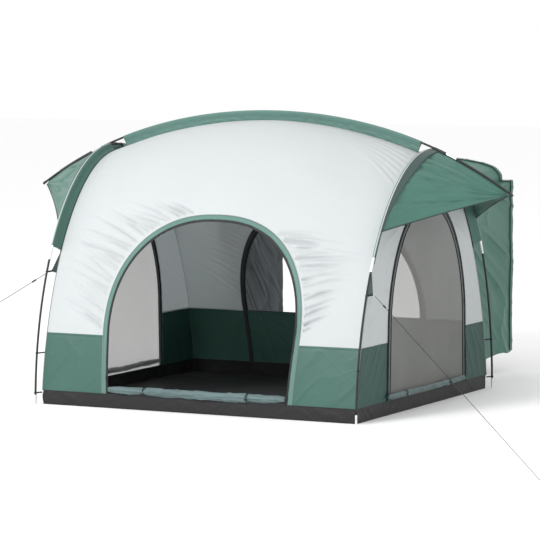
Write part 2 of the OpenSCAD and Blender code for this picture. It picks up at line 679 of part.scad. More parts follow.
floor_tub();
front_wall_upper();
front_wall_lower_left();
front_wall_lower_right();
front_door_trim();
front_zip_track();
front_door_roll();
back_wall_upper();
back_wall_lower();
back_door_panel();
back_door_trim();
back_zip_track();
left_wall_upper();
left_wall_lower();
left_door_mesh();
left_door_trim();
left_door_roll();
right_wall_upper();
right_wall_lower();
right_door_mesh();
right_door_trim();
right_door_roll();
roll_ties();
ridge_fin();
left_front_fin();
left_back_fin();
right_front_fin();
right_back_fin();
left_awning();
right_awning();
awning_pole_sleeves();
vehicle_sleeve();
sleeve_hem();
left_front_leg();
left_back_leg();
left_arch_pole();
right_front_leg();
right_back_leg();
right_arch_pole();
ridge_pole();
ridge_ends();
pole_ferrules();
foot_tips();
ridge_caps();
crossing_ties();
pole_clips();
corner_straps();
guy_patches();
left_guy_line();
right_guy_line();
left_guy_tensioner();
right_guy_tensioner();
guy_loops();
front_zip_slider();
front_zip_pull();
left_zip_slider();
left_zip_pull();
right_zip_slider();
right_zip_pull();
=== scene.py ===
import json
import math

import bpy
import numpy as np
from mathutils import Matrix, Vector


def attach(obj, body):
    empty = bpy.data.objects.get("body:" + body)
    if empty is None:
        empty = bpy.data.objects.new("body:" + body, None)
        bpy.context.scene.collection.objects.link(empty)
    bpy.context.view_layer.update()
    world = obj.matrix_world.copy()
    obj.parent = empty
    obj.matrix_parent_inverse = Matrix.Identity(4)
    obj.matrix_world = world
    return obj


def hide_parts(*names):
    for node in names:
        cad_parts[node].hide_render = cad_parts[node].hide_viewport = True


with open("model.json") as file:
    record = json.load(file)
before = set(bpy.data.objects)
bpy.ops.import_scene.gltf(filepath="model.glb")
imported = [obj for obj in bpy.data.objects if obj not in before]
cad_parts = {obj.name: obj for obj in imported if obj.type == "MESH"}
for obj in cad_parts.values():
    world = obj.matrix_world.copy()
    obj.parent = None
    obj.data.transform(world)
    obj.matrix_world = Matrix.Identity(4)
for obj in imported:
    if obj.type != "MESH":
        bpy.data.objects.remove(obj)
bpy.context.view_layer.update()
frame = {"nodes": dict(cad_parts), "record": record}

HOUSE = "shelter"

# ---------------------------------------------------------------- sizes, as in part.scad

ARCH_FOOT_X = 1.325
ARCH_FOOT_Y = 1.260
ARCH_CROWN_X = 1.343
ARCH_H = 1.912
RIDGE_H = 2.179
RIDGE_TIP = 2.000
RIDGE_DROP = 0.595
RIDGE_POLE_HALF = 1.470
STUB_START = 1.550
STUB_END = 1.974
POLE_R = 0.008
FERRULE_R = 0.0095

HALF_W = 1.300
HALF_D = 1.200
CROWN_H = 2.114
SIDE_H = 1.867
TUB_H = 0.105
WALL_LOW = 0.106
PANEL_LOW = WALL_LOW - 0.002
SEAM_H = 0.525
PANEL_TOP = SEAM_H + 0.004
LEAN_IN = 0.085

DOOR_W = 1.540
DOOR_SILL_W = 1.480
DOOR_TOP = 1.393
DOOR_WIDE_Z = 0.600
DOOR_POWER = 2.3
TRIM_W = 0.045
TRIM_LAP = TRIM_W - 0.004
ZIP_W = 0.011

SIDE_DOOR_W = 1.380
SIDE_SILL_W = 1.410
SIDE_DOOR_TOP = 1.520
SIDE_SHIFT = 0.050
SIDE_TRIM_W = 0.026
SIDE_TRIM_LAP = SIDE_TRIM_W - 0.003
SIDE_TAPE_IN = 0.026

ROLL_HALF = 0.732
SIDE_ROLL_HALF = 0.700
ROLL_R = 0.030
SIDE_ROLL_R = 0.021
ROLL_Z = 0.142
TIE_X = 0.425
TIE_Y = 0.400

RIDGE_FIN_END = 1.268
FIN_LOW_Z = 1.175
FIN_HIGH_T = 0.958
FIN_SKEW = 0.03
FIN_LOOP_R = 0.0105
FIN_ROWS = 10
LEG_TOP_Z = 1.075
FOOT_TIP_H = 0.075
STRAP_W = 0.010
TIE_W = 0.012
STRAP_BAND_R = POLE_R + 0.0022
CLIP_Z = 0.385
STRAP_LOW_Z = FOOT_TIP_H + 0.014

AWNING_CORNER_Y = 0.880
AWNING_END_X = 1.975
AWNING_REACH = 0.965
AWNING_BOW = 0.015
AWNING_SLEEVES = ((-1.840, -1.560), (1.370, 1.460))

SLEEVE_REACH = 2.350
SLEEVE_W = 2.090
SLEEVE_H = 1.760
SLEEVE_SPRING = 1.572
SLEEVE_FLAP = 0.092
SLEEVE_LOW_Z = 0.180
SLEEVE_ROOT_FLAP = 0.012
SLEEVE_ROOT_LOW_Z = 0.150
SLEEVE_ROOT_W = 1.840
SLEEVE_ROOT_H = 1.660
SLEEVE_ROOT_SPRING = 1.260
SLEEVE_POWER = 2.8
SLEEVE_HEM = 0.045

GUY_D = 0.004
GUY_STEPS = 20
LEFT_GUY_END = (-2.520, -2.254, 0.005)
RIGHT_GUY_END = (3.530, -3.250, 0.005)
LEFT_PATCH_Z = 0.985
RIGHT_PATCH_Z = 0.910
PATCH_REACH = 0.052
PATCH_RING_R = 0.008


# ---------------------------------------------------------------- shared curves

def bezier(points, t):
    """Cubic Bezier through four control values, for one t or an array of them."""
    a, b, c, d = points
    u = 1 - t
    return u**3 * a + 3 * u * u * t * b + 3 * u * t * t * c + t**3 * d


def solve(f, target, steps=40):
    """The t from 0 to 1 where the rising function f reaches target; works on arrays."""
    low = np.zeros_like(np.asarray(target, float))
    high = np.ones_like(low)
    for _ in range(steps):
        middle = (low + high) / 2
        under = f(middle) < target
        low = np.where(under, middle, low)
        high = np.where(under, high, middle)
    return (low + high) / 2


def arch_y(t):
    return bezier((ARCH_FOOT_Y, ARCH_FOOT_Y, ARCH_FOOT_Y * 0.571, 0), t)


def arch_z(t):
    return bezier((0, ARCH_H * 0.515, ARCH_H, ARCH_H), t)


def arch(t, sx, sy):
    """Centreline of a side arch, from the foot at t 0 to the crown at t 1."""
    t = np.asarray(t, float)
    x = sx * bezier((ARCH_FOOT_X, ARCH_FOOT_X + 0.002, ARCH_CROWN_X, ARCH_CROWN_X), t)
    return np.stack([x + 0 * t, sy * arch_y(t) + 0 * t, arch_z(t)], -1)


def arch_t(z):
    return solve(arch_z, z)


def ridge_z(x):
    u = np.abs(x) / RIDGE_TIP
    return RIDGE_H - RIDGE_DROP * (5 / 6 * u**2 + 1 / 6 * u**4)


def ridge(x):
    x = np.asarray(x, float)
    return np.stack([x, 0 * x, ridge_z(x)], -1)


def top_z(x):
    return CROWN_H - (CROWN_H - SIDE_H) * (x / HALF_W) ** 2


def wall_y(t):
    return bezier((HALF_D, HALF_D - LEAN_IN, HALF_D * 0.55, 0), t)


def wall_z(x, t):
    h = top_z(x)
    return bezier((WALL_LOW, h * 0.5088, h, h), t)


def wall(x, t, sy):
    """The fabric body: x across, t from the floor band over to the ridge, sy the end."""
    x, t = np.broadcast_arrays(np.asarray(x, float), np.asarray(t, float))
    return np.stack([x, sy * wall_y(t), wall_z(x, t)], -1)


def wall_t(x, z):
    x, z = np.broadcast_arrays(np.asarray(x, float), np.asarray(z, float))
    return solve(lambda t: wall_z(x, t), z)


def wall_at(x, z, sy):
    return wall(x, wall_t(x, z), sy)


def lerp(a, b, s):
    return a + (b - a) * s


def way_along(line):
    """Distance of each point of a line from its start."""
    gaps = np.linalg.norm(np.diff(line, axis=0), axis=1)
    return np.concatenate([[0], np.cumsum(gaps)])


def even(line, count):
    """The same line with count points at even spacing."""
    way = way_along(line)
    share = np.linspace(0, way[-1], count)
    return np.stack([np.interp(share, way, line[:, k]) for k in range(line.shape[1])], -1)


def between(a, b, s):
    """The grid of points from line a across to line b, at the shares s of the way."""
    return lerp(a[:, None], b[:, None], s[None, :, None])


def along(line, spacing):
    """The same line with points at even steps of about spacing."""
    return even(line, max(2, int(round(way_along(line)[-1] / spacing)) + 1))


def half_width(low, high, z):
    return lerp(low, high, (z - TUB_H) / (DOOR_WIDE_Z - TUB_H)) / 2


def door_outline(grow, z_low, count=240):
    """End door outline as (across, up) from the left foot over the top to the right foot."""
    z = np.linspace(z_low, DOOR_WIDE_Z, 30)
    left = np.stack([-half_width(DOOR_SILL_W, DOOR_W, z) - grow, z], -1)
    angle = np.linspace(0, math.pi, 400)
    c, s = np.cos(angle), np.sin(angle)
    a, b = DOOR_W / 2 + grow, DOOR_TOP - DOOR_WIDE_Z + grow
    top = np.stack([-a * np.sign(c) * np.abs(c) ** (2 / DOOR_POWER),
                    DOOR_WIDE_Z + b * np.abs(s) ** (2 / DOOR_POWER)], -1)
    line = np.concatenate([left[:-1], top, (left * [-1, 1])[::-1][1:]])
    return even(line, count)


def side_outline(grow, z_low, centre, count=240):
    z = np.linspace(z_low, DOOR_WIDE_Z, 30)
    left = np.stack([-half_width(SIDE_SILL_W, SIDE_DOOR_W, z) - grow, z], -1)
    angle = np.linspace(0, math.pi, 300)
    a, b = SIDE_DOOR_W / 2 + grow, SIDE_DOOR_TOP - DOOR_WIDE_Z + grow
    top = np.stack([-a * np.cos(angle), DOOR_WIDE_Z + b * np.sin(angle)], -1)
    line = np.concatenate([left[:-1], top, (left * [-1, 1])[::-1][1:]])
    return even(line, count) + [centre, 0]


# ---------------------------------------------------------------- folds in cloth

def smooth_noise(u, v, seed):
    """Value noise from -1 to 1 on a unit lattice, the same each run."""
    lattice = np.random.default_rng(seed).uniform(-1, 1, (61, 67))
    u, v = np.broadcast_arrays(np.asarray(u, float), np.asarray(v, float))
    iu, iv = np.floor(u).astype(int), np.floor(v).astype(int)
    fu, fv = u - iu, v - iv
    su, sv = fu**3 * (fu * (6 * fu - 15) + 10), fv**3 * (fv * (6 * fv - 15) + 10)

    def corner(a, b):
        return lattice[(iu + a) % 61, (iv + b) % 67]

    near = lerp(corner(0, 0), corner(1, 0), su)
    far = lerp(corner(0, 1), corner(1, 1), su)
    return lerp(near, far, sv)


def creases(u, v, seed):
    """Sharp soft-sided folds from 0 to 1 that run along v."""
    return (1 - np.abs(smooth_noise(u, v, seed))) ** 4


def window(s, low, high, soft):
    """1 between low and high, falling smoothly to 0 over soft on each side."""
    rise = np.clip((s - low) / soft + 0.5, 0, 1)
    fall = np.clip((high - s) / soft + 0.5, 0, 1)
    rise = rise * rise * (3 - 2 * rise)
    return rise * fall * fall * (3 - 2 * fall)


def rim_fade(n, m, soft=0.07):
    """1 inside an n by m grid, falling to 0 at its four edges, where a panel is sewn down."""
    rows = np.linspace(0, 1, n)[:, None]
    cols = np.linspace(0, 1, m)[None]
    return np.clip(np.minimum(rows, 1 - rows) / soft, 0, 1) * np.clip(np.minimum(cols, 1 - cols) / soft, 0, 1)


# ---------------------------------------------------------------- mesh building

AREAS = {}


def grid_area(g):
    """Area of the cloth before it is creased."""
    a, b, c, d = g[:-1, :-1], g[1:, :-1], g[1:, 1:], g[:-1, 1:]
    first = np.linalg.norm(np.cross(b - a, c - a), axis=-1)
    second = np.linalg.norm(np.cross(c - a, d - a), axis=-1)
    return float(first.sum() + second.sum()) / 2


def grid_normals(g):
    rows = np.gradient(g, axis=0)
    cols = np.gradient(g, axis=1)
    n = np.cross(rows, cols)
    size = np.linalg.norm(n, axis=-1, keepdims=True)
    return n / np.maximum(size, 1e-12)


def make_object(name, vertices, faces, material):
    name = f"{name}.look" if name in frame["nodes"] else name
    mesh = bpy.data.meshes.new(name)
    mesh.from_pydata([tuple(map(float, v)) for v in vertices], [], faces)
    mesh.validate()
    mesh.update()
    for polygon in mesh.polygons:
        polygon.use_smooth = True
    obj = bpy.data.objects.new(name, mesh)
    bpy.context.scene.collection.objects.link(obj)
    mesh.materials.append(material)
    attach(obj, HOUSE)
    return obj


def cloth(name, g, material, inside, fold=None, thickness=0.0014, lining=None):
    """A sheet of cloth on a grid of points; folds push it away from the point inside.
    A lining is the material of its inner face, where the two faces differ."""
    area = grid_area(g)
    normals = grid_normals(g)
    middle = g[g.shape[0] // 2, g.shape[1] // 2] - np.asarray(inside, float)
    turned = np.dot(normals[g.shape[0] // 2, g.shape[1] // 2], middle) < 0
    if turned:
        normals = -normals
    if fold is not None:
        g = g + normals * fold[..., None]
    n, m = g.shape[:2]
    index = np.arange(n * m).reshape(n, m)
    a, b, c, d = index[:-1, :-1], index[1:, :-1], index[1:, 1:], index[:-1, 1:]
    order = (a, d, c, b) if turned else (a, b, c, d)
    faces = np.stack([o.ravel() for o in order], -1).tolist()
    obj = make_object(name, g.reshape(-1, 3), faces, material)
    AREAS[obj.name] = area
    if thickness:
        solid = obj.modifiers.new("thickness", "SOLIDIFY")
        solid.thickness = thickness
        solid.offset = -1
        if lining is not None:
            obj.data.materials.append(lining)
            solid.material_offset = 1
    return obj


def tube(name, path, radius, material, sides, closed=False):
    """A round tube along points, with flat ends unless it is closed."""
    path = np.asarray(path, float)
    n = len(path)
    if closed:
        tangents = np.roll(path, -1, axis=0) - np.roll(path, 1, axis=0)
    else:
        tangents = np.gradient(path, axis=0)
    tangents /= np.linalg.norm(tangents, axis=1, keepdims=True)
    up = np.array([0, 0, 1.0]) if abs(tangents[0][2]) < 0.9 else np.array([1.0, 0, 0])
    u = np.cross(tangents[0], up)
    vertices = []
    for k in range(n):
        u = u - tangents[k] * np.dot(u, tangents[k])
        u /= np.linalg.norm(u)
        v = np.cross(tangents[k], u)
        for s in range(sides):
            angle = 2 * math.pi * s / sides
            vertices.append(path[k] + radius * (math.cos(angle) * u + math.sin(angle) * v))
    faces = []
    for k in range(n if closed else n - 1):
        for s in range(sides):
            after = (s + 1) % sides
            low, high = k * sides, (k + 1) % n * sides
            faces.append((low + s, low + after, high + after, high + s))
    if not closed:
        faces.append(tuple(reversed(range(sides))))
        faces.append(tuple((n - 1) * sides + s for s in range(sides)))
    obj = make_object(name, vertices, faces, material)
    if not closed:
        for polygon in obj.data.polygons[-2:]:
            polygon.use_smooth = False
    return obj


def join(name, objects):
    """One object from several, keeping the first one's place and body."""
    area = sum(AREAS.get(o.name, 0) for o in objects)
    bpy.ops.object.select_all(action="DESELECT")
    for o in objects:
        for modifier in list(o.modifiers):
            bpy.context.view_layer.objects.active = o
            bpy.ops.object.modifier_apply(modifier=modifier.name)
    for o in objects:
        o.select_set(True)
    bpy.context.view_layer.objects.active = objects[0]
    bpy.ops.object.join()
    objects[0].name = f"{name}.look" if name in frame["nodes"] else name
    AREAS[objects[0].name] = area
    return objects[0]


def stands_for(obj, node):
    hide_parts(node)


def trim_tube(name, path, radius, material, sides=8):
    """Piping, a coil, a hem, or a line of painted highlight or painted shade: a tube that takes no CAD node's
    place.
    """
    tube(name, path, radius, material, sides)


def finish_cloth(obj, nodes):
    """Hides the CAD nodes that this sheet of cloth takes the place of, if any."""
    if nodes:
        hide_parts(*nodes)
    return obj


# ---------------------------------------------------------------- materials

class Net:
    """A new material's nodes, with short ways to add to them."""

    def __init__(self, name):
        self.material = bpy.data.materials.new(name)
        self.material.use_nodes = True
        self.tree = self.material.node_tree
        self.bsdf = self.tree.nodes["Principled BSDF"]

    def fill(self, node, inputs):
        """Sets a node's inputs, each to a plain value or linked to another node's socket."""
        for key, value in inputs.items():
            if isinstance(value, bpy.types.NodeSocket):
                self.tree.links.new(value, node.inputs[key])
            else:
                node.inputs[key].default_value = value
        return node

    def add(self, kind, inputs):
        return self.fill(self.tree.nodes.new(f"ShaderNode{kind}"), inputs)

    def noise(self, scale, detail, stretch=(1, 1, 1)):
        coords = self.add("TexCoord", {}).outputs["Object"]
        mapping = self.add("Mapping", {"Scale": stretch, "Vector": coords})
        inputs = {"Scale": scale, "Detail": detail, "Vector": mapping.outputs["Vector"]}
        return self.add("TexNoise", inputs).outputs["Fac"]

    def weave(self, threads):
        """Threads that cross: fine noise drawn out along the cloth one way and the other."""
        math_node = self.add("Math", {
            0: self.noise(threads, 1.0, (1.0, 1.0, 0.06)),
            1: self.noise(threads, 1.0, (0.06, 0.06, 1.0)),
        })
        math_node.operation = "ADD"
        return math_node.outputs[0]

    def drift(self, factor, color, darkest, lightest):
        """The colour, drifting between two shades of itself."""
        node = self.add("ValToRGB", {"Fac": factor})
        for element, at, k in zip(node.color_ramp.elements, (0.3, 0.7), (darkest, lightest)):
            element.position = at
            element.color = (*shade(color, k), 1)
        return node.outputs["Color"]

    def span(self, value, low, high, most=1.0):
        inputs = {"Value": value, "From Max": most, "To Min": low, "To Max": high}
        return self.add("MapRange", inputs).outputs["Result"]

    def bump(self, height, strength, distance, under=None):
        inputs = {"Height": height, "Strength": strength, "Distance": distance}
        if under is not None:
            inputs["Normal"] = under
        return self.add("Bump", inputs).outputs["Normal"]

    def mix(self, factor, first, second):
        inputs = {"Fac": factor, 1: first.outputs[0], 2: second.outputs[0]}
        return self.add("MixShader", inputs)

    def surface(self, shader):
        self.fill(self.tree.nodes["Material Output"], {"Surface": shader.outputs[0]})


def shade(color, k):
    return tuple(min(1.0, c * k) for c in color)


def fabric(name, color, threads=260, rough=0.62, sheen=0.25, crumple=0.35, glow=0.0, spread=0.06):
    """Woven polyester: weave, faint crumple, slight colour drift, and light through it."""
    net = Net(name)
    weave = net.bump(net.weave(threads), 0.25, 0.0003)
    net.fill(net.bsdf, {
        "Base Color": net.drift(net.noise(2.2, 4), color, 1 - spread, 1 + spread),
        "Roughness": net.span(net.noise(5.0, 3), rough - 0.07, rough + 0.07),
        "Sheen Weight": sheen,
        "Sheen Roughness": 0.4,
        "Specular IOR Level": 0.35,
        "Normal": net.bump(net.noise(14, 5, (1, 1, 0.6)), crumple, 0.004, weave),
    })
    if glow:
        through = net.add("BsdfTranslucent", {"Color": (*shade(color, 0.95), 1)})
        net.surface(net.mix(glow, net.bsdf, through))
    return net.material


def screen(name, color, cover):
    """Insect mesh: a see-through veil of fine threads."""
    net = Net(name)
    net.fill(net.bsdf, {
        "Base Color": net.drift(net.noise(3.0, 3), color, 0.93, 1.07),
        "Roughness": 0.7,
    })
    clear = net.add("BsdfTransparent", {})
    through = net.add("BsdfTranslucent", {"Color": (*color, 1)})
    threads = net.mix(0.28, net.bsdf, through)
    share = net.span(net.weave(900), cover - 0.10, cover + 0.10, 2.0)
    net.surface(net.mix(share, clear, threads))
    return net.material


def hard(name, color, rough, metal=0.0, grain=600, bump=0.0002, stretch=(1, 1, 1), coat=0.0):
    """Painted, moulded or plated surface with fine grain and slight wear."""
    net = Net(name)
    net.fill(net.bsdf, {
        "Base Color": net.drift(net.noise(30, 4, stretch), color, 0.85, 1.12),
        "Roughness": net.span(net.noise(90, 3, stretch), rough * 0.8, min(1.0, rough * 1.25)),
        "Metallic": metal,
        "Coat Weight": coat,
        "Normal": net.bump(net.noise(grain, 2, stretch), 0.3, bump),
    })
    return net.material


WHITE = fabric("white cloth", (0.735, 0.765, 0.770), glow=0.45, spread=0.012, rough=0.6, crumple=0.25)
GREEN = fabric("green cloth", (0.056, 0.150, 0.117), rough=0.48, sheen=0.10)
# Painted shade: the lower panels' green is the body green made darker, standing for the shade on the low
# panels.
SHADED_LOWER_GREEN = fabric("lower panel cloth in painted shade", (0.040, 0.106, 0.086), rough=0.50, sheen=0.08)
# Painted shade: the side panels' green is the body green made darker and duller, standing for the shade the
# sides stand in.
SHADED_SIDE_GREEN = fabric("side panel cloth in painted shade", (0.017, 0.062, 0.051), rough=0.56, sheen=0.03)
# Painted shade: the sleeve's inner face is a dark bluish green, standing for the shade inside the sleeve.
SHADED_INNER_FACE = fabric("inner face in painted shade", (0.012, 0.029, 0.038), rough=0.60, sheen=0.04)
TRIM_GREEN = fabric("light green trim", (0.086, 0.178, 0.152), rough=0.55, sheen=0.15, crumple=0.2)
FIN_GREEN = fabric("fin cloth", (0.048, 0.122, 0.098), rough=0.5, sheen=0.10, crumple=0.25)
# Painted highlight: a light grey strip for the light caught along each arch fin's loop round its pole.
HIGHLIGHT_STRIP = fabric("painted highlight strip", (0.42, 0.45, 0.45), threads=420, rough=0.6, crumple=0.1)
TAPE = fabric("zip tape", (0.085, 0.105, 0.105), threads=420, rough=0.65, crumple=0.15)
# Painted shade: a dull dark green for the strip of shade along each awning's root beside the arch.
SHADE_STRIP_GREEN = fabric("painted shade strip", (0.046, 0.078, 0.073), threads=420, rough=0.6, sheen=0.1, crumple=0.15)
DARK_GREEN = fabric("dark green tape", (0.024, 0.052, 0.048), threads=420, rough=0.6, sheen=0.1, crumple=0.15)
TUB = fabric("floor cloth", (0.0125, 0.0125, 0.0135), threads=180, rough=0.58, sheen=0.02, crumple=0.6)
FLAP = fabric("rolled flap", (0.100, 0.150, 0.152), rough=0.6, sheen=0.12, crumple=0.5)
BINDING = fabric("binding tape", (0.034, 0.040, 0.042), threads=420, rough=0.7, sheen=0.1, crumple=0.1)
PIPING = fabric("piping", (0.22, 0.24, 0.24), threads=420, rough=0.7, crumple=0.1)
WEBBING = fabric("webbing", (0.008, 0.008, 0.009), threads=520, rough=0.75, sheen=0.03, crumple=0.05)
SCREEN = screen("insect mesh", (0.300, 0.298, 0.284), 0.70)
POLE = hard("wrapped fibreglass", (0.006, 0.006, 0.007), 0.5, stretch=(1, 1, 0.2))
STEEL = hard("plated steel", (0.80, 0.81, 0.82), 0.30, metal=0.85, stretch=(1, 1, 0.1))
PLASTIC = hard("moulded plastic", (0.014, 0.014, 0.016), 0.45)
ZIP = hard("zip coil", (0.006, 0.006, 0.007), 0.6, bump=0.0006)
SLIDER = hard("painted zinc", (0.02, 0.02, 0.022), 0.35, coat=0.2)
CORD = hard("braided cord", (0.012, 0.012, 0.014), 0.75, bump=0.0008, grain=900)


# ---------------------------------------------------------------- camera, first

CAMERA_PLACE = (10.218, -20.322, 2.805)
CAMERA_TARGET = (0.0066, 0.0033, 0.9686)
CAMERA_LENS = 199.0


def aimed(name, data, place, target):
    """A camera or light at place that looks at target."""
    obj = bpy.data.objects.new(name, data)
    obj.location = place
    obj.rotation_mode = "QUATERNION"
    obj.rotation_quaternion = (Vector(target) - Vector(place)).to_track_quat("-Z", "Y")
    bpy.context.scene.collection.objects.link(obj)
    return obj


def make_camera():
    data = bpy.data.cameras.new("camera")
    data.lens = CAMERA_LENS
    data.sensor_width = 36.0
    data.clip_end = 200
    bpy.context.scene.camera = aimed("camera", data, CAMERA_PLACE, CAMERA_TARGET)


make_camera()


# ---------------------------------------------------------------- guy lines

def patch_ring(sx, z):
    """Middle of the guy line's ring, beside the front corner seam."""
    return wall_at(sx * HALF_W, z, -1) + np.array([sx * PATCH_REACH, -0.008, 0])


def toward(p, q, distance):
    return p + (q - p) / np.linalg.norm(q - p) * distance


def guy_line(side, ring, end):
    end = np.array(end)
    start = toward(ring, end, PATCH_RING_R + 0.004)
    curve = bpy.data.curves.new(f"{side}_guy", "CURVE")
    curve.dimensions = "3D"
    curve.bevel_depth = GUY_D / 2
    curve.bevel_resolution = 3
    curve.use_fill_caps = True
    spline = curve.splines.new("POLY")
    spline.points.add(GUY_STEPS)
    for k in range(GUY_STEPS + 1):
        spline.points[k].co = (*lerp(start, end, k / GUY_STEPS), 1)
    curve.materials.append(CORD)
    obj = bpy.data.objects.new(f"{side}_guy", curve)
    bpy.context.scene.collection.objects.link(obj)
    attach(obj, HOUSE)
    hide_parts(f"{side}_guy_line")
    return obj


guy_line("left", patch_ring(-1, LEFT_PATCH_Z), LEFT_GUY_END)
guy_line("right", patch_ring(1, RIGHT_PATCH_Z), RIGHT_GUY_END)


# ---------------------------------------------------------------- body: end walls

def upper_edge(f, low):
    """Outer edge of an upper end wall as (x, t): up one side, along the ridge, down."""
    side = 0.35
    x = np.clip(lerp(-HALF_W, HALF_W, (f - side) / (1 - 2 * side)), -HALF_W, HALF_W)
    rise = lerp(low, 1, np.clip(f / side, 0, 1))
    fall = lerp(1, low, np.clip((f - 1 + side) / side, 0, 1))
    return x, np.where(f < 0.5, rise, fall)


def climb(t):
    """Distance up the cloth of an end wall from the floor band, at mid-width."""
    at = np.linspace(0, 1, 400)
    return np.interp(t, at, way_along(wall(0, at, 1)) + WALL_LOW)


def stroke(across, up, start, end, sag, width, depth):
    """One pulled crease, a ridge with a valley beside it, along a slightly bent line."""
    start, end = np.asarray(start, float), np.asarray(end, float)
    way = end - start
    length = np.hypot(*way)
    way = way / length
    s = ((across - start[0]) * way[0] + (up - start[1]) * way[1]) / length
    beside = (up - start[1]) * way[0] - (across - start[0]) * way[1]
    beside = beside + sag * 4 * s * (1 - s)
    taper = np.clip(s / 0.05, 0, 1) * np.clip((1 - s) / 0.60, 0, 1)
    spread = width * (0.8 + 0.9 * np.clip(s, 0, 1))
    ridge_line = np.exp(-((beside / spread) ** 2))
    valley = np.exp(-(((beside + 1.5 * spread) / (1.1 * spread)) ** 2))
    return depth * taper * (ridge_line - 0.75 * valley)


# Creases that leave the doorway's arch on each side: between which of the outline's 200 points,
# at what angles in degrees, how long and how bent.
LEFT_PULLS = {
    "count": 27, "spots": (6, 86), "angles": (36, 22), "spread": 7, "way": -1,
    "reach": lambda share: 0.22 + 0.38 * math.sin(math.pi * min(1, 0.2 + 0.7 * share)),
    "stretch": (0.75, 1.15), "sag": (-0.006, 0.010),
}
RIGHT_PULLS = {
    "count": 24, "spots": (192, 138), "angles": (34, 2), "spread": 5, "way": 1,
    "reach": lambda share: 0.10 + 0.50 * math.sqrt(share),
    "stretch": (0.65, 1.1), "sag": (-0.012, 0.006),
}


def end_wall_folds(x, up, seed):
    """Creases pulled from the door's arch to the corners, and swags under the ridge."""
    rng = np.random.default_rng(seed)
    fold = 0.0030 * smooth_noise(x * 3.1 + up, up * 2.3, seed + 2)
    fold = fold + 0.0012 * creases((x * 0.35 + up) * 9, (x - up * 0.35) * 1.6, seed + 3)
    outline = door_outline(TRIM_W + 0.012, SEAM_H, 200)
    rise = climb(wall_t(outline[:, 0], outline[:, 1]))
    for pulls in (LEFT_PULLS, RIGHT_PULLS):
        for k in range(pulls["count"]):
            share = k / (pulls["count"] - 1)
            spot = int(lerp(*pulls["spots"], share) + rng.uniform(-1.5, 1.5))
            spread = pulls["spread"]
            angle = math.radians(lerp(*pulls["angles"], share) + rng.uniform(-spread, spread))
            length = pulls["reach"](share) * rng.uniform(*pulls["stretch"])
            begin = np.array([outline[spot, 0], rise[spot]])
            end = begin + length * np.array([pulls["way"] * math.cos(angle), math.sin(angle)])
            sag = rng.uniform(*pulls["sag"])
            width, depth = rng.uniform(0.008, 0.011), rng.uniform(0.0090, 0.0145)
            fold = fold + stroke(x, up, begin, end, sag, width, depth)
    roof = float(climb(1.0))
    for k in range(7):
        begin = np.array([1.28, roof - 0.16 - 0.070 * k])
        end = np.array([0.42 + 0.060 * k, roof - 0.02 - 0.045 * k])
        fold = fold + stroke(x, up, begin, end, 0.028, 0.013, rng.uniform(0.0030, 0.0055))
        begin = np.array([-1.26, roof - 0.25 - 0.08 * k])
        end = begin + [0.22, 0.12]
        fold = fold + stroke(x, up, begin, end, 0.01, 0.012, rng.uniform(0.001, 0.0025))
    return fold


# The sleeve pulls the back wall smooth, so its creases are a fifth of the front wall's.
# Creases of the back wall, as a share of the front wall's: it is hidden, and held by the sleeve.
BACK_TENSION = 0.2
SEAM_TAPE_LOW = SEAM_H - 0.005
SEAM_TAPE_HIGH = SEAM_H + 0.009


def seam_fade(z):
    """0 on the seam over the lower panels, where the cloth is sewn flat, 1 just above it."""
    return np.clip((z - SEAM_H) / 0.035, 0, 1)


def seam_tape(name, g, material):
    """The flat tape over the seam between the white cloth and a lower panel."""
    across = np.linspace(0, 1, g.shape[1])[None]
    proud = 0.0014 + 0.0004 * np.sin(math.pi * across) + 0 * g[..., 0]
    obj = cloth(name, g, material, (0, 0, 0.3), proud, 0.0012)
    finish_cloth(obj, [])


def end_seam_tape(side, sy):
    z = np.linspace(SEAM_TAPE_LOW, SEAM_TAPE_HIGH, 4)
    for sx, n in ((-1, "left"), (1, "right")):
        door = sx * (half_width(DOOR_SILL_W, DOOR_W, z) + TRIM_LAP)
        x = lerp(door[None], sx * HALF_W, np.linspace(0, 1, 60)[:, None])
        seam_tape(f"{side}_seam_tape_{n}", wall_at(x, z[None] + 0 * x, sy), SHADED_LOWER_GREEN)


def end_wall_upper(name, sy, seed):
    n, m = 470, 104
    inner = door_outline(TRIM_LAP, SEAM_H, n)
    k = np.linspace(0, 1, n)
    low = float(wall_t(HALF_W, SEAM_H))
    edge_x, edge_t = upper_edge(k, low)
    inner_t = wall_t(inner[:, 0], inner[:, 1])
    r = np.linspace(0, 1, m) ** 1.25
    x = lerp(inner[:, 0][:, None], edge_x[:, None], r[None])
    t = lerp(inner_t[:, None], edge_t[:, None], r[None])
    g = wall(x, t, sy)
    tension = 1.0 if sy < 0 else BACK_TENSION
    fold = tension * end_wall_folds(x, climb(t), seed)
    rim = (np.clip((1 - r) / 0.05, 0, 1) * np.clip(r / 0.02, 0, 1))[None]
    obj = cloth(name, g, WHITE, (0, 0, 1), fold * rim * seam_fade(g[..., 2]))
    finish_cloth(obj, [name])
    return obj


def diagonal_creases(u, v, seed, lean=0.8, size=0.0080):
    """Slanting pulls, with finer ones across them."""
    first = creases((u + lean * v) * 9.0, (v - lean * u) * 1.3, seed)
    second = creases((u - 1.3 * v) * 7.0, (v + u) * 1.2, seed + 5)
    fine = creases((u + 1.6 * v) * 17.0, (v - u) * 2.2, seed + 6)
    strong = 0.65 + 0.35 * smooth_noise(u * 3, v * 3, seed + 9)
    return size * (first + 0.12 * second + 0.22 * fine) * strong


def lower_grid(x_low, x_high, sy, n, m=40):
    z = np.linspace(PANEL_LOW, PANEL_TOP, m)
    s = np.linspace(0, 1, n)
    x = lerp(x_low(z)[None], x_high(z)[None], s[:, None])
    return wall_at(x, z[None] + 0 * x, sy), x, z[None] + 0 * x


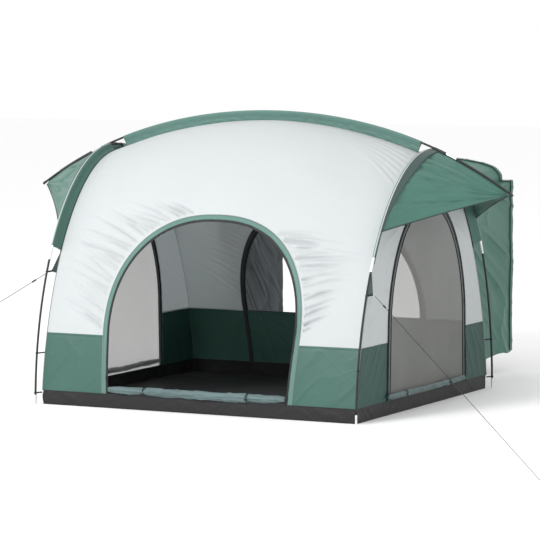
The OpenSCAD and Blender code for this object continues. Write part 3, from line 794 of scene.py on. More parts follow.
def end_wall_lower(name, sx, sy, seed):
    def at_door(z):
        return sx * (half_width(DOOR_SILL_W, DOOR_W, z) + TRIM_LAP)

    g, x, z = lower_grid(at_door, lambda z: sx * HALF_W + 0 * z, sy, 100, 80)
    fold = diagonal_creases(-x, z, seed) * rim_fade(*x.shape)
    return cloth(name, g, SHADED_LOWER_GREEN, (0, 0, 0.3), fold)


def band(name, grow_in, grow_out, sy, material, proud=0.0012, thickness=0.0016):
    """Trim that follows the door outline on an end wall."""
    n = 260
    s = np.linspace(0, 1, 5)
    flat = between(door_outline(grow_in, PANEL_LOW, n), door_outline(grow_out, PANEL_LOW, n), s)
    x, z = flat[..., 0], flat[..., 1]
    g = wall_at(x, z, sy)
    crown = proud + 0.0008 * np.sin(math.pi * s)[None] + 0 * x
    pucker = 0.0007 * smooth_noise(np.linspace(0, 150, n)[:, None], s[None] * 1.5, 77)
    return cloth(name, g, material, (0, 0, 0.8), crown + pucker, thickness)


def outline_tube(name, grow, sy, radius, material):
    line = door_outline(grow, WALL_LOW, 260)
    out = np.array([0, sy, 0.25]) * 0.001
    trim_tube(name, wall_at(line[:, 0], line[:, 1], sy) + out, radius, material)


def end_wall(side, sy):
    seed = 11 if sy < 0 else 47
    end_wall_upper(f"{side}_wall_upper", sy, seed)
    parts = [end_wall_lower(f"{side}_wall_lower_{n}", sx, sy, seed + 20 + sx)
             for sx, n in ((-1, "left"), (1, "right"))]
    if side == "front":
        for obj, n in zip(parts, ("left", "right")):
            finish_cloth(obj, [f"front_wall_lower_{n}"])
    else:
        obj = join("back_wall_lower", parts)
        finish_cloth(obj, ["back_wall_lower"])
    end_seam_tape(side, sy)
    color = TRIM_GREEN if side == "front" else BINDING
    trim = band(f"{side}_door_trim", ZIP_W - 0.001, TRIM_W, sy, color)
    finish_cloth(trim, [f"{side}_door_trim"])
    tape = band(f"{side}_zip_tape", -0.006, ZIP_W + 0.004, sy, ZIP, 0.0004, 0.0018)
    finish_cloth(tape, [f"{side}_zip_track"])
    outline_tube(f"{side}_zip_coil", ZIP_W * 0.45, sy, 0.0024, ZIP)
    outline_tube(f"{side}_door_piping", TRIM_W, sy, 0.0022, PIPING)


end_wall("front", -1)
end_wall("back", 1)


def back_door_panel():
    def edge(sign):
        return lambda z: sign * (half_width(DOOR_SILL_W, DOOR_W, z) + 0.003)

    g, x, z = lower_grid(edge(-1), edge(1), 1, 240, 70)
    fold = diagonal_creases(x, z, 91, 0.3, 0.010) - 0.004 * window(z, 0.2, 0.45, 0.2)
    obj = cloth("back_door_panel", g, SHADED_LOWER_GREEN, (0, 0, 0.3), fold * rim_fade(*x.shape, 0.05))
    finish_cloth(obj, ["back_door_panel"])
    half = half_width(DOOR_SILL_W, DOOR_W, PANEL_TOP)
    x_line = np.linspace(-half, half, 60)
    trim_tube("back_panel_hem", wall_at(x_line, PANEL_TOP + 0 * x_line, 1), 0.004, BINDING)


back_door_panel()


# ---------------------------------------------------------------- body: side walls

def side_point(across, up, sx):
    """A point in a side wall from (along the wall, up)."""
    x = np.full(np.shape(across), sx * (HALF_W - 0.0005))
    return np.stack([x, across, up], -1)


def side_edge(k, low):
    """The side wall's rim over the arch seam, from the front foot to the back foot."""
    t = lerp(low, 1, 1 - np.abs(1 - 2 * k))
    return np.sign(2 * k - 1 + 1e-9) * wall_y(t), wall_z(HALF_W, t)


def side_seam_tape(side, sx):
    z = np.linspace(SEAM_TAPE_LOW, SEAM_TAPE_HIGH, 4)
    for sy, n in ((-1, "front"), (1, "back")):
        door = sx * SIDE_SHIFT + sy * (half_width(SIDE_SILL_W, SIDE_DOOR_W, z) + SIDE_TRIM_LAP)
        corner = sy * wall_y(wall_t(HALF_W, z))
        y = lerp(door[None], corner[None], np.linspace(0, 1, 60)[:, None])
        seam_tape(f"{side}_seam_tape_{n}", side_point(y, z[None] + 0 * y, sx), SHADED_SIDE_GREEN)


def side_upper(side, sx, seed):
    centre = sx * SIDE_SHIFT
    n, m = 420, 60
    inner = side_outline(SIDE_TRIM_LAP, SEAM_H, centre, n)
    k = np.linspace(0, 1, n)
    edge_y, edge_z = side_edge(k, float(wall_t(HALF_W, SEAM_H)))
    r = np.linspace(0, 1, m)
    y = lerp(inner[:, 0][:, None], edge_y[:, None], r[None])
    z = lerp(inner[:, 1][:, None], edge_z[:, None], r[None])
    sign = np.sign(y + 1e-6)
    fold = 0.0075 * creases((0.45 * sign * y + z) * 11, (sign * y - 0.45 * z) * 1.5, seed)
    fold = fold * (0.55 + 0.45 * smooth_noise(y * 5, z * 3, seed + 1))
    fold = fold + 0.003 * creases((0.9 * sign * y + z) * 23, (sign * y - z) * 2, seed + 4)
    fold = fold + 0.003 * smooth_noise(y * 3, z * 2.4, seed + 2)
    rim = np.clip(np.minimum(r, 1 - r) / 0.12, 0, 1)[None]
    fold = fold * rim * seam_fade(z)
    upper = cloth(f"{side}_wall_upper", side_point(y, z, sx), WHITE, (0, 0, 1), fold)
    finish_cloth(upper, [f"{side}_wall_upper"])


def side_lower(side, sx, seed):
    centre = sx * SIDE_SHIFT
    parts = []
    for sy in (-1, 1):
        zs = np.linspace(PANEL_LOW, PANEL_TOP, 76)
        door = centre + sy * (half_width(SIDE_SILL_W, SIDE_DOOR_W, zs) + SIDE_TRIM_LAP)
        corner = sy * wall_y(wall_t(HALF_W, zs))
        ys = lerp(door[None], corner[None], np.linspace(0, 1, 80)[:, None])
        up = zs[None] + 0 * ys
        creased = diagonal_creases(ys * sy, up, seed + 7 + sy, 0.6) * rim_fade(*up.shape)
        g = side_point(ys, up, sx)
        parts.append(cloth(f"{side}_lower_{sy}", g, SHADED_SIDE_GREEN, (0, 0, 0.3), creased))
    lower = join(f"{side}_wall_lower", parts)
    finish_cloth(lower, [f"{side}_wall_lower"])


def side_net(side, sx, seed):
    """The insect mesh of a side door."""
    centre = sx * SIDE_SHIFT
    rows = np.concatenate([np.linspace(PANEL_LOW, DOOR_WIDE_Z, 40)[:-1],
                           DOOR_WIDE_Z + (SIDE_DOOR_TOP - DOOR_WIDE_Z) * np.sin(np.linspace(0, 1.53, 60))])
    lift = np.clip((rows - DOOR_WIDE_Z) / (SIDE_DOOR_TOP - DOOR_WIDE_Z), 0, 1)
    half = np.where(rows < DOOR_WIDE_Z, half_width(SIDE_SILL_W, SIDE_DOOR_W, rows),
                    SIDE_DOOR_W / 2 * np.sqrt(np.maximum(1 - lift**2, 1e-6)))
    s = np.linspace(-1, 1, 90)
    y = centre + (half[:, None] + 0.004) * s[None]
    z = rows[:, None] + 0 * y
    slack = 0.004 * smooth_noise(y * 2.2, z * 1.8, seed) * (1 - s[None] ** 4)
    net = cloth(f"{side}_door_mesh", side_point(y, z, sx), SCREEN, (0, 0, 0.8), slack, 0.0)
    finish_cloth(net, [f"{side}_door_mesh"])


def side_trim(side, sx):
    centre = sx * SIDE_SHIFT
    n = 260
    cols = np.linspace(0, 1, 7)
    flat = between(side_outline(-SIDE_TAPE_IN, PANEL_LOW, centre, n),
                   side_outline(SIDE_TRIM_W, PANEL_LOW, centre, n), cols)
    across, up = flat[..., 0], flat[..., 1]
    crown = 0.0014 + 0.0010 * np.sin(math.pi * cols)[None] + 0 * up
    pucker = 0.0008 * smooth_noise(np.linspace(0, 150, n)[:, None], cols[None] * 1.5, 78)
    trim = cloth(f"{side}_door_trim", side_point(across, up, sx), TAPE, (0, 0, 0.8), crown + pucker, 0.0030)
    finish_cloth(trim, [f"{side}_door_trim"])


def side_zip(side, sx):
    """The coil and the two pipings outside a side door, and the zip's inner face."""
    centre = sx * SIDE_SHIFT
    for grow, name, material, radius in ((0.010, "zip_coil", ZIP, 0.0034),
                                         (-SIDE_TAPE_IN, "zip_edge", WEBBING, 0.0036),
                                         (SIDE_TRIM_W, "door_piping", WEBBING, 0.0034)):
        line = side_outline(grow, WALL_LOW, centre, 220)
        path = side_point(line[:, 0], line[:, 1], sx) + np.array([sx * 0.0035, 0, 0])
        trim_tube(f"{side}_{name}", path, radius, material)
    line = side_outline(0.004, WALL_LOW, centre, 220)
    path = side_point(line[:, 0], line[:, 1], sx) - np.array([sx * 0.003, 0, 0])
    trim_tube(f"{side}_zip_inside", path, 0.005, ZIP)


for side, sx, seed in (("left", -1, 130), ("right", 1, 160)):
    side_upper(side, sx, seed)
    side_lower(side, sx, seed)
    side_seam_tape(side, sx)
    side_net(side, sx, seed + 31)
    side_trim(side, sx)
    side_zip(side, sx)


# ---------------------------------------------------------------- floor band and floor

def tub_ring(count, corner):
    """Outline of the floor with small round corners, as points in order."""
    line = []
    for qx, qy, start in ((1, -1, -90), (1, 1, 0), (-1, 1, 90), (-1, -1, 180)):
        for step in range(7):
            angle = math.radians(start + 15 * step)
            line.append((qx * (HALF_W - corner) + corner * math.cos(angle),
                         qy * (HALF_D - corner) + corner * math.sin(angle)))
    line.append(line[0])
    return even(np.array(line), count)


def tub_wall():
    """The raised rim round the floor, with slanting creases that gather at the corners."""
    n, m = 1200, 16
    ring = tub_ring(n, 0.012)
    s = np.linspace(0, 2 * (2.6 + 2.4), n)
    up = np.linspace(0, 1, m)
    z = 0.001 + (TUB_H + 0.002) * up
    g = np.stack([ring[:, 0][:, None] + 0 * z, ring[:, 1][:, None] + 0 * z, z[None] + 0 * ring[:, :1]], -1)
    gap = (np.abs(ring[:, 0]) - HALF_W) ** 2 + (np.abs(ring[:, 1]) - HALF_D) ** 2
    near_corner = np.exp(-gap / 0.12)[:, None]
    slant = creases((s[:, None] + 1.3 * z[None]) * 11, z[None] * 5, 5) * (0.35 + near_corner)
    slant = slant + 0.5 * creases((s[:, None] - 1.5 * z[None]) * 17, z[None] * 6, 6)
    fold = 0.0055 * slant * np.sin(math.pi * up)[None] - 0.003
    wall_band = cloth("tub_wall", g, TUB, (0, 0, 0.05), fold, 0.002)
    finish_cloth(wall_band, ["floor_tub"])
    line = np.stack([ring[:, 0], ring[:, 1], 0 * s + TUB_H + 0.001], -1)[:-1]
    tube("tub_piping", line, 0.0022, BINDING, sides=6, closed=True)


def tub_floor():
    """The floor sheet, with soft folds and the marks of how it was folded away."""
    x = np.linspace(-HALF_W + 0.004, HALF_W - 0.004, 200)
    y = np.linspace(-HALF_D + 0.004, HALF_D - 0.004, 190)
    gx, gy = np.meshgrid(x, y, indexing="ij")
    folds = 0.010 * creases((gx + 0.2 * gy) * 2.1, gy * 0.8, 3) + 0.008 * creases(gy * 1.7, gx * 0.7, 4)
    pressed = 0.003 * (np.exp(-(gx / 0.006) ** 2) + np.exp(-((np.abs(gy) - 0.6) / 0.006) ** 2))
    g = np.stack([gx, gy, 0.002 + folds + pressed], -1)
    floor = cloth("tub_floor", g, TUB, (0, 0, -1), None, 0.0012)
    finish_cloth(floor, [])


tub_wall()
tub_floor()


# ---------------------------------------------------------------- fins: sleeves round the poles

def fin(name, pole_line, seam_line, material, seed, waviness=0.0015):
    """Doubled cloth from a body seam up and round a pole."""
    n = len(pole_line)
    tangent = np.gradient(pole_line, axis=0)
    tangent /= np.linalg.norm(tangent, axis=1, keepdims=True)
    down = seam_line - pole_line
    down -= tangent * np.sum(down * tangent, axis=1, keepdims=True)
    depth = np.linalg.norm(down, axis=1, keepdims=True)
    down /= depth
    side = np.cross(tangent, down)
    s = np.linspace(0, n * 0.12, n)[:, None]
    flat_from = min(0.022, float(depth.min()) * 0.45)

    def skin(k, face):
        """Row k of one face, from the body seam up to the loop round the pole."""
        share = k / (FIN_ROWS - 1)
        gap = 0.0010 + 0.0045 * max(0.0, share - 0.75) * 4
        sway = waviness * smooth_noise(s * 3, share * 2.5, seed)
        return pole_line + down * lerp(depth, flat_from, share) + side * (sway + face * gap)

    section = [skin(k, 1) for k in range(FIN_ROWS)]
    for k in range(1, 12):
        angle = math.radians(62 + 236 * k / 12)
        section.append(pole_line + FIN_LOOP_R * (math.cos(angle) * down + math.sin(angle) * side))
    section += [skin(k, -1) for k in reversed(range(FIN_ROWS))]
    inside = pole_line[n // 2] + down[n // 2] * 0.004
    return cloth(name, np.stack(section, 1), material, inside, None, 0.0010)


def ridge_fin():
    x = np.linspace(-RIDGE_FIN_END, RIDGE_FIN_END, 240)
    seam = np.stack([x, 0 * x, top_z(x) - 0.002], -1)
    obj = fin("ridge_fin", ridge(x), seam, TRIM_GREEN, seed=21, waviness=0.002)
    finish_cloth(obj, ["ridge_fin"])
    stitch = np.stack([x, 0 * x, ridge_z(x) - 0.024], -1)
    for sy in (-1, 1):
        trim_tube(f"ridge_fin_stitch_{'front' if sy < 0 else 'back'}", stitch + [0, sy * 0.0042, 0],
                  0.0009, PIPING, 6)


ridge_fin()


def arch_fin(side, end, sx, sy):
    low, high = float(arch_t(FIN_LOW_Z)), FIN_HIGH_T
    t = np.linspace(low, high, 120)
    pole = arch(t, sx, sy)
    seam = wall(sx * HALF_W, t - FIN_SKEW * (1 - t), sy) + np.array([sx * 0.001, 0, 0])
    name = f"{side}_{end}_fin"
    obj = fin(name, pole, seam, FIN_GREEN, seed=31 + sx + 3 * sy)
    finish_cloth(obj, [name])
    # Seam piping drawn thick and black: partly real piping, partly painted shade where the fin meets the
    # wall.
    trim_tube(f"{name}_piping", seam + np.array([sx * 0.002, sy * 0.002, 0]), 0.0050, WEBBING)
    # Painted highlight: a light grey tube along the fin's outer edge stands for the light caught by the cloth
    # round the pole.
    outward = pole - seam
    outward /= np.linalg.norm(outward, axis=1, keepdims=True)
    trim_tube(f"{name}_edge", pole + outward * 0.0085, 0.0050, HIGHLIGHT_STRIP, 10)


for side, sx in (("left", -1), ("right", 1)):
    for end, sy in (("front", -1), ("back", 1)):
        arch_fin(side, end, sx, sy)


def corner_piping():
    """Piping down each corner and over each arch seam of the body."""
    for side, sx in (("left", -1), ("right", 1)):
        t = np.linspace(0, 1, 160)
        front = wall(sx * HALF_W, t, -1)
        back = wall(sx * HALF_W, t, 1)[::-1][1:]
        line = np.concatenate([front, back])
        trim_tube(f"{side}_corner_piping", line, 0.0032, PIPING)


corner_piping()


# ---------------------------------------------------------------- awnings

def awning_ridge_z(x):
    return ridge_z(x) - FERRULE_R - 0.004


def awning(side, sx):
    rows, cols = 121, 90
    low = float(solve(lambda t: -arch_y(t), -AWNING_CORNER_Y))
    across = np.linspace(-1, 1, rows)[:, None]
    s = 1 - np.abs(across)
    t = lerp(low, 1, s)
    seam = arch(t[:, 0], 1, 1)
    seam[:, 1] *= np.sign(across[:, 0])
    seam[:, 0] += POLE_R + 0.003
    tip = np.array([AWNING_END_X, 0, awning_ridge_z(AWNING_END_X)])
    r = AWNING_REACH * np.linspace(0, 1, cols)[None]
    p = between(seam, tip[None], r[0])
    lift = awning_ridge_z(p[..., 0]) - lerp(ARCH_H, tip[2], r)
    bow = AWNING_BOW * 4 * r * (1 - r) * (1 - s) ** 2
    p[..., 0] -= bow
    p[..., 2] += lift * s**3 + bow / 4
    p[..., 0] *= sx
    seed = 211 if sx < 0 else 223
    pull = creases(s * 13 + 0.8 * r + (across > 0) * 31, r * 1.2, seed)
    pull = pull + 0.45 * creases(s * 29 + 1.5 * r + (across > 0) * 17, r * 1.7, seed + 1)
    fold = -0.019 * pull * window(s, 0.04, 0.93, 0.10) * np.clip(r / 0.10, 0, 1) * (1 - 0.5 * r)
    fold = fold + 0.004 * smooth_noise(across * 6, r * 4, seed + 3) * window(s, 0.03, 0.95, 0.06)
    obj = cloth(f"{side}_awning", p, GREEN, (0, 0, 0.2), fold)
    finish_cloth(obj, [f"{side}_awning"])
    for row, end in ((0, "front"), (-1, "back")):
        trim_tube(f"{side}_awning_hem_{end}", p[row], 0.0035, BINDING)
    trim_tube(f"{side}_awning_root", p[:, 0], 0.0035, BINDING)
    # Painted shade: a dark strip along the awning's root, widest over the top, stands for the shade beside
    # the arch.
    share = np.linspace(0, 0.085, 7)[None, :, None] * np.clip(s * 1.8, 0.12, 1)[..., None]
    tape = lerp(p[:, :1], p[:, 12:13], share / (AWNING_REACH * 12 / (cols - 1)))
    strip = cloth(f"{side}_awning_root_shade", tape, SHADE_STRIP_GREEN, (0, 0, 0.2), 0.004 + 0 * tape[..., 0], 0.002)
    finish_cloth(strip, [])
    trim_tube(f"{side}_awning_ridge_cord", p[rows // 2] + [0, 0, 0.003], 0.0030, DARK_GREEN)


for side, sx in (("left", -1), ("right", 1)):
    awning(side, sx)


def awning_pole_sleeves():
    made = []
    for low, high in AWNING_SLEEVES:
        x = np.linspace(low, high, 40)
        below = np.stack([x, 0 * x, awning_ridge_z(x) - 0.022], -1)
        made.append(fin("sleeve", ridge(x), below, BINDING, seed=51))
    obj = join("awning_pole_sleeves", made)
    finish_cloth(obj, ["awning_pole_sleeves"])


awning_pole_sleeves()


# ---------------------------------------------------------------- vehicle sleeve

def sleeve_section(s, width, top, spring, hem, flap):
    """Open section as (across, up): up one side, in over a narrow flap, and over the top."""
    f = np.minimum(s, 1 - s)
    sign = np.where(s < 0.5, 1.0, -1.0)
    angle = math.pi * (2 - 3 * np.clip(s, 1 / 3, 2 / 3))
    c, q = np.cos(angle), np.clip(np.sin(angle), 0, 1)
    x = -(width / 2 - flap) * np.sign(c) * np.abs(c) ** (2 / SLEEVE_POWER)
    z = spring + (top - spring) * q ** (2 / SLEEVE_POWER)
    step = np.clip((f - 0.3) * 30, 0, 1)
    x = np.where(f < 1 / 3, sign * (width / 2 - flap * step), x)
    z = np.where(f < 1 / 3, lerp(hem, spring, np.clip(f / 0.3, 0, 1)), z)
    return x, z


def sleeve_folds(s, r, y, z):
    """Long creases that fan out from the top of the join, and pleats over the shoulders."""
    side = window(s, -0.2, 0.31, 0.05) + window(s, 0.69, 1.2, 0.05)
    angle = np.arctan2(1.95 - z, y - 0.45)
    away = np.hypot(1.95 - z, y - 0.45)
    seed = np.where(s < 0.5, 0.0, 20.0)
    long = creases(angle * 15 + seed, away * 1.1, 301) * 0.021
    fine = creases(angle * 31 + seed, away * 2.2, 302) * 0.009
    fan = creases(s * 46 + 1.5 * r, r * 1.1, 303) * 0.009 * window(s, 0.33, 0.67, 0.06)
    low = 0.008 * creases(y * 7 + z * 3, z * 5, 304) * np.clip((0.50 - z) / 0.3, 0, 1)
    return (long + fine) * side + fan * (0.5 + 0.5 * r) + low * side - 0.006


def vehicle_sleeve():
    n, m = 300, 110
    s = np.linspace(0, 1, n)
    root_x, root_z = sleeve_section(s, SLEEVE_ROOT_W, SLEEVE_ROOT_H, SLEEVE_ROOT_SPRING,
                                     SLEEVE_ROOT_LOW_Z, SLEEVE_ROOT_FLAP)
    end_x, end_z = sleeve_section(s, SLEEVE_W, SLEEVE_H, SLEEVE_SPRING, SLEEVE_LOW_Z, SLEEVE_FLAP)
    root = wall_at(root_x, root_z, 1) + np.array([0, 0.004, 0])
    mouth = np.stack([end_x, np.full(n, SLEEVE_REACH), end_z], -1)
    r = np.linspace(0, 1, m)
    g = between(root, mouth, r)
    g[..., 2] -= 0.030 * np.sin(math.pi * r)[None]
    g[..., 2] += 0.012 * smooth_noise(g[..., 1] * 7, 0, 305) * (np.minimum(s, 1 - s) < 0.1)[:, None]
    fold = sleeve_folds(s[:, None], r[None], g[..., 1], g[..., 2])
    fold = fold * (np.clip(r / 0.06, 0, 1) * (1 - 0.55 * window(r, 0.93, 1.2, 0.1)))[None]
    # Its inner face takes the dark green of painted shade.
    obj = cloth("vehicle_sleeve", g, GREEN, (0, 1.8, 0.6), fold, 0.0016, SHADED_INNER_FACE)
    finish_cloth(obj, ["vehicle_sleeve"])


def sleeve_hem():
    n, m = 300, 8
    s = np.linspace(0, 1, n)
    x, z = sleeve_section(s, SLEEVE_W + 0.004, SLEEVE_H + 0.002, SLEEVE_SPRING + 0.002,
                         SLEEVE_LOW_Z, SLEEVE_FLAP)
    y = SLEEVE_REACH - SLEEVE_HEM + SLEEVE_HEM * np.linspace(0, 1, m)
    g = np.stack([x[:, None] + 0 * y, y[None] + 0 * x[:, None], z[:, None] + 0 * y], -1)
    fold = sleeve_folds(s[:, None], 1.0 + 0 * y[None], g[..., 1], g[..., 2]) * 0.45 + 0.004
    obj = cloth("sleeve_hem", g, FIN_GREEN, (0, 2.3, 0.6), fold, 0.003)
    finish_cloth(obj, ["sleeve_hem"])


vehicle_sleeve()
sleeve_hem()


# ---------------------------------------------------------------- rolled flaps

def roll(name, start, end, ties, seed, size):
    """A loosely rolled flap, pinched where it is tied, with its loose edge lapped over."""
    start, end = np.array(start, float), np.array(end, float)
    length = np.linalg.norm(end - start)
    n, turns = 220, 64
    s = np.linspace(0, 1, n)
    way = s * length - length / 2
    pinch = sum(np.exp(-((way - t) / 0.035) ** 2) for t in ties)
    tapered = np.clip(np.minimum(s, 1 - s) / 0.10, 0, 1)
    plump = 0.74 + 0.34 * tapered + 0.10 * np.sin(math.pi * s) - 0.34 * pinch
    plump = plump * np.clip(np.minimum(s, 1 - s) / 0.015 + 0.75, 0, 1)
    axis = (end - start) / length
    u = np.cross(axis, [0, 0, 1.0])
    v = np.array([0, 0, 1.0])
    angle = np.linspace(0, 2 * math.pi, turns)
    twist = 0.9 * np.sin(s * 7)[:, None] + 1.3
    lap = 0.0035 * ((angle[None] + twist) % (2 * math.pi)) / (2 * math.pi)
    crumple = 0.27 * size * creases(angle[None] * 1.3 + 3 + s[:, None] * 3, s[:, None] * 11, seed)
    crumple = crumple + 0.17 * size * smooth_noise(angle[None] * 0.9 + 8, s[:, None] * 17, seed + 3)
    crumple = crumple * (1 + 0.8 * pinch[:, None])
    radius = (size - 0.006) * plump[:, None] + lap + crumple
    centre = start[None] + axis * (s * length)[:, None]
    centre[:, 2] -= 0.004 * np.sin(math.pi * s)
    ring = (np.cos(angle)[None, :, None] * u + np.sin(angle)[None, :, None] * v * 0.92) * radius[..., None]
    g = centre[:, None, :] + ring
    cap_a = np.broadcast_to(centre[0], (1, turns, 3)) + ring[:1] * 0.15
    cap_b = np.broadcast_to(centre[-1], (1, turns, 3)) + ring[-1:] * 0.15
    g = np.concatenate([cap_a, g, cap_b])
    obj = cloth(name, g, FLAP, centre[n // 2], None, 0.0)
    stands_for(obj, name)


roll("front_door_roll", (-ROLL_HALF, -HALF_D, ROLL_Z), (ROLL_HALF, -HALF_D, ROLL_Z), (-TIE_X, TIE_X),
     401, ROLL_R)
ROLL_X = HALF_W + SIDE_ROLL_R + 0.004
for side, x, seed in (("left", -ROLL_X, 402), ("right", ROLL_X, 403)):
    roll(f"{side}_door_roll", (x, -SIDE_ROLL_HALF, ROLL_Z), (x, SIDE_ROLL_HALF, ROLL_Z),
         (-TIE_Y, TIE_Y), seed, SIDE_ROLL_R)


# ---------------------------------------------------------------- poles and hardware

def make_pole(name, line):
    stands_for(tube(name, line, POLE_R, POLE, sides=20), name)


def poles():
    for side, sx in (("left", -1), ("right", 1)):
        for end, sy in (("front", -1), ("back", 1)):
            t = np.linspace(float(arch_t(FOOT_TIP_H)), float(arch_t(LEG_TOP_Z)), 50)
            make_pole(f"{side}_{end}_leg", arch(t, sx, sy))
        t = np.linspace(float(arch_t(FIN_LOW_Z)), 1, 70)
        make_pole(f"{side}_arch_pole", np.concatenate([arch(t, sx, -1), arch(t, sx, 1)[::-1][1:]]))
    make_pole("ridge_pole", ridge(np.linspace(-RIDGE_POLE_HALF, RIDGE_POLE_HALF, 120)))
    stub = np.linspace(STUB_START, STUB_END, 30)
    ends = [tube(f"ridge_end_{sx}", ridge(sx * stub), POLE_R, POLE, sides=20) for sx in (-1, 1)]
    stands_for(join("ridge_ends", ends), "ridge_ends")


poles()


def ribbon(name, start, end, width, across=(0, 0, 1)):
    """A flat strip of webbing between two points."""
    start, end, across = (np.asarray(v, float) for v in (start, end, across))
    s = np.linspace(0, 1, 12)
    middle = lerp(start[None], end[None], s[:, None])
    w = np.linspace(-0.5, 0.5, 4)
    g = middle[:, None, :] + across[None, None, :] * (width * w)[None, :, None]
    return cloth(name, g, WEBBING, (0, 0, 0.5), 0.0006 * smooth_noise(s[:, None] * 9, w[None], 5), 0.0016)


def square_to(axis):
    """A unit vector along axis, and two more square to it."""
    axis = np.asarray(axis, float) / np.linalg.norm(axis)
    side = np.cross(axis, [0.3, 0.2, 0.9])
    side /= np.linalg.norm(side)
    return axis, side, np.cross(axis, side)


def ring(name, centre, axis, radius, wire, material):
    axis, side, other = square_to(axis)
    angle = np.linspace(0, 2 * math.pi, 37)[:-1, None]
    path = np.asarray(centre) + radius * (np.cos(angle) * side + np.sin(angle) * other)
    return tube(name, path, wire, material, sides=10, closed=True)


def guy_patch(side, sx, z):
    """Reinforcing patch on a front corner seam, its ring, and the tie to the pole."""
    low = wall_at(sx * HALF_W, z - 0.012, -1) + np.array([sx * 0.0015, -0.003, 0])
    high = wall_at(sx * HALF_W, z + 0.140, -1) + np.array([sx * 0.0015, -0.003, 0])
    place = patch_ring(sx, z)
    point = place - np.array([sx * (PATCH_RING_R + 0.004), 0, 0])
    s = np.linspace(0, 1, 14)
    g = between(lerp(high, low, s[:, None]), lerp(high, point, s[:, None]), s)
    patch = cloth(f"{side}_guy_patch", g, DARK_GREEN, (0, 0, z), None, 0.0015)
    finish_cloth(patch, ["guy_patches"])
    rim = along(np.array([high, low, point, high]), 0.006)
    trim_tube(f"{side}_guy_patch_binding", rim, 0.0022, BINDING, 6)
    d_ring = ring(f"{side}_guy_ring", place, (0, 1, 0), PATCH_RING_R, 0.002, STEEL)
    loop = ribbon(f"{side}_guy_ring_loop", point - [sx * 0.016, 0.003, 0], place - [sx * 0.006, 0, 0],
                  TIE_W)
    leg = arch(float(arch_t(z)), sx, -1)
    tie = ribbon(f"{side}_guy_pole_tie", place - [sx * 0.024, 0.004, 0], toward(leg, place, POLE_R + 0.001),
                 TIE_W)
    clasp = ring(f"{side}_guy_pole_ring", leg, leg - arch(float(arch_t(z + 0.02)), sx, -1),
                 POLE_R + 0.002, 0.0022, PLASTIC)


guy_patch("left", -1, LEFT_PATCH_Z)
guy_patch("right", 1, RIGHT_PATCH_Z)


def hoop(name, centre, axis, radius, width):
    """A flat band of webbing round an axis, slightly crowned across its width."""
    axis, side, other = square_to(axis)
    angle = np.linspace(0, 2 * math.pi, 41)[:, None, None]
    w = np.linspace(-0.5, 0.5, 6)[None, :, None]
    out = np.cos(angle) * side + np.sin(angle) * other
    reach = radius + 0.0006 * (1 - 4 * w**2)
    return cloth(name, np.asarray(centre) + reach * out + axis * (width * w), WEBBING, centre, None, 0.0012)


def pole_straps(node, corner, z):
    """A webbing strap at each corner, from the seam to a band round the leg."""
    pieces = []
    for sx in (-1, 1):
        for sy in (-1, 1):
            leg = arch(float(arch_t(z)), sx, sy)
            above = arch(float(arch_t(z + 0.02)), sx, sy)
            seam = corner(sx, sy)
            tag = f"{node}_{sx}_{sy}"
            pieces.append(hoop(f"{tag}_band", leg, above - leg, STRAP_BAND_R, STRAP_W))
            pieces.append(ribbon(tag, seam, toward(leg, seam, POLE_R + 0.002), STRAP_W))
    stands_for(join(node, pieces), node)


def crossing_ties():
    """Webbing from each end of the ridge fin to a band round the crossing of the poles."""
    pieces = []
    for sx in (-1, 1):
        start = (sx * (RIDGE_FIN_END + 0.003), 0, float(top_z(RIDGE_FIN_END)) + 0.008)
        end = (sx * (ARCH_CROWN_X - POLE_R - 0.002), 0, ARCH_H - 0.002)
        pieces.append(ribbon(f"crossing_tie_{sx}", start, end, TIE_W, (0, 1, 0)))
        crown = (sx * ARCH_CROWN_X, 0, ARCH_H)
        pieces.append(hoop(f"crossing_band_{sx}", crown, (0, 1, 0), STRAP_BAND_R, TIE_W))
    stands_for(join("crossing_ties", pieces), "crossing_ties")


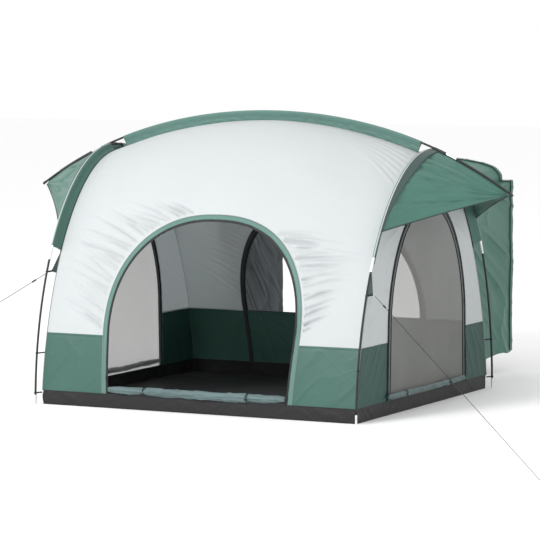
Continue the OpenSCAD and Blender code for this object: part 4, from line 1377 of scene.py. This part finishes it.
def roll_ties():
    """Webbing bands round the rolled flaps, each with two short tails."""
    places = [((x, -HALF_D, ROLL_Z), (1, 0, 0), (0, -1, 0), ROLL_R) for x in (-TIE_X, TIE_X)]
    places += [((sx * ROLL_X, y, ROLL_Z), (0, 1, 0), (sx, 0, 0), SIDE_ROLL_R)
               for sx in (-1, 1) for y in (-TIE_Y, TIE_Y)]
    pieces = []
    for k, (centre, axis, out, size) in enumerate(places):
        centre, axis, out = (np.asarray(v, float) for v in (centre, axis, out))
        pieces.append(hoop(f"roll_tie_{k}", centre, axis, size - 0.0015, STRAP_W))
        for sign in (-1, 1):
            knot = centre + out * (size - 0.0005) + axis * sign * 0.002
            tip = knot + axis * sign * 0.013 + [0, 0, -0.022]
            pieces.append(ribbon(f"roll_tail_{k}_{sign}", knot, tip, 0.006, axis))
    stands_for(join("roll_ties", pieces), "roll_ties")


def clip_start(sx, sy):
    return wall_at(sx * HALF_W, CLIP_Z, sy) + [sx * 0.001, sy * 0.002, 0]


def strap_start(sx, sy):
    return np.array([sx * (HALF_W + 0.001), sy * (HALF_D + 0.002), STRAP_LOW_Z])


pole_straps("pole_clips", clip_start, CLIP_Z)
pole_straps("corner_straps", strap_start, STRAP_LOW_Z)
crossing_ties()
roll_ties()


def dress_cad_nodes():
    """Materials for the CAD pieces that show as they are."""
    looks = {"webbing": WEBBING, "ferrule": STEEL, "plastic": PLASTIC, "slider": SLIDER,
             "cord": CORD, "fin_cloth": FIN_GREEN, "zip": ZIP}
    for row in frame["record"]["subparts"]:
        node = frame["nodes"][row["node"]]
        material = looks.get(row["material_slot"])
        if material is not None and not node.hide_render:
            node.data.materials.clear()
            node.data.materials.append(material)


dress_cad_nodes()


# ---------------------------------------------------------------- stage and light

def stage():
    mesh = bpy.data.meshes.new("ground")
    half = 60
    corners = [(-half, -half, 0), (half, -half, 0), (half, half, 0), (-half, half, 0)]
    mesh.from_pydata(corners, [], [(0, 1, 2, 3)])
    ground = bpy.data.objects.new("ground", mesh)
    bpy.context.scene.collection.objects.link(ground)
    floor = Net("pale floor")
    floor.fill(floor.bsdf, {"Base Color": (0.97, 0.97, 0.97, 1), "Roughness": 0.9})
    mesh.materials.append(floor.material)


def area_light(name, place, target, size, power):
    data = bpy.data.lights.new(name, "AREA")
    data.shape = "DISK"
    data.size = size
    data.energy = power
    aimed(name, data, place, target)


def lights():
    world = bpy.data.worlds.new("studio")
    bpy.context.scene.world = world
    world.use_nodes = True
    background = world.node_tree.nodes["Background"]
    background.inputs["Color"].default_value = (1.0, 1.0, 1.0, 1)
    background.inputs["Strength"].default_value = 1.0
    area_light("key", (-3.5, -13.0, 9.0), (0, 0, 0.9), 4.5, 1600)
    bpy.context.scene.view_settings.view_transform = "Standard"


stage()
lights()
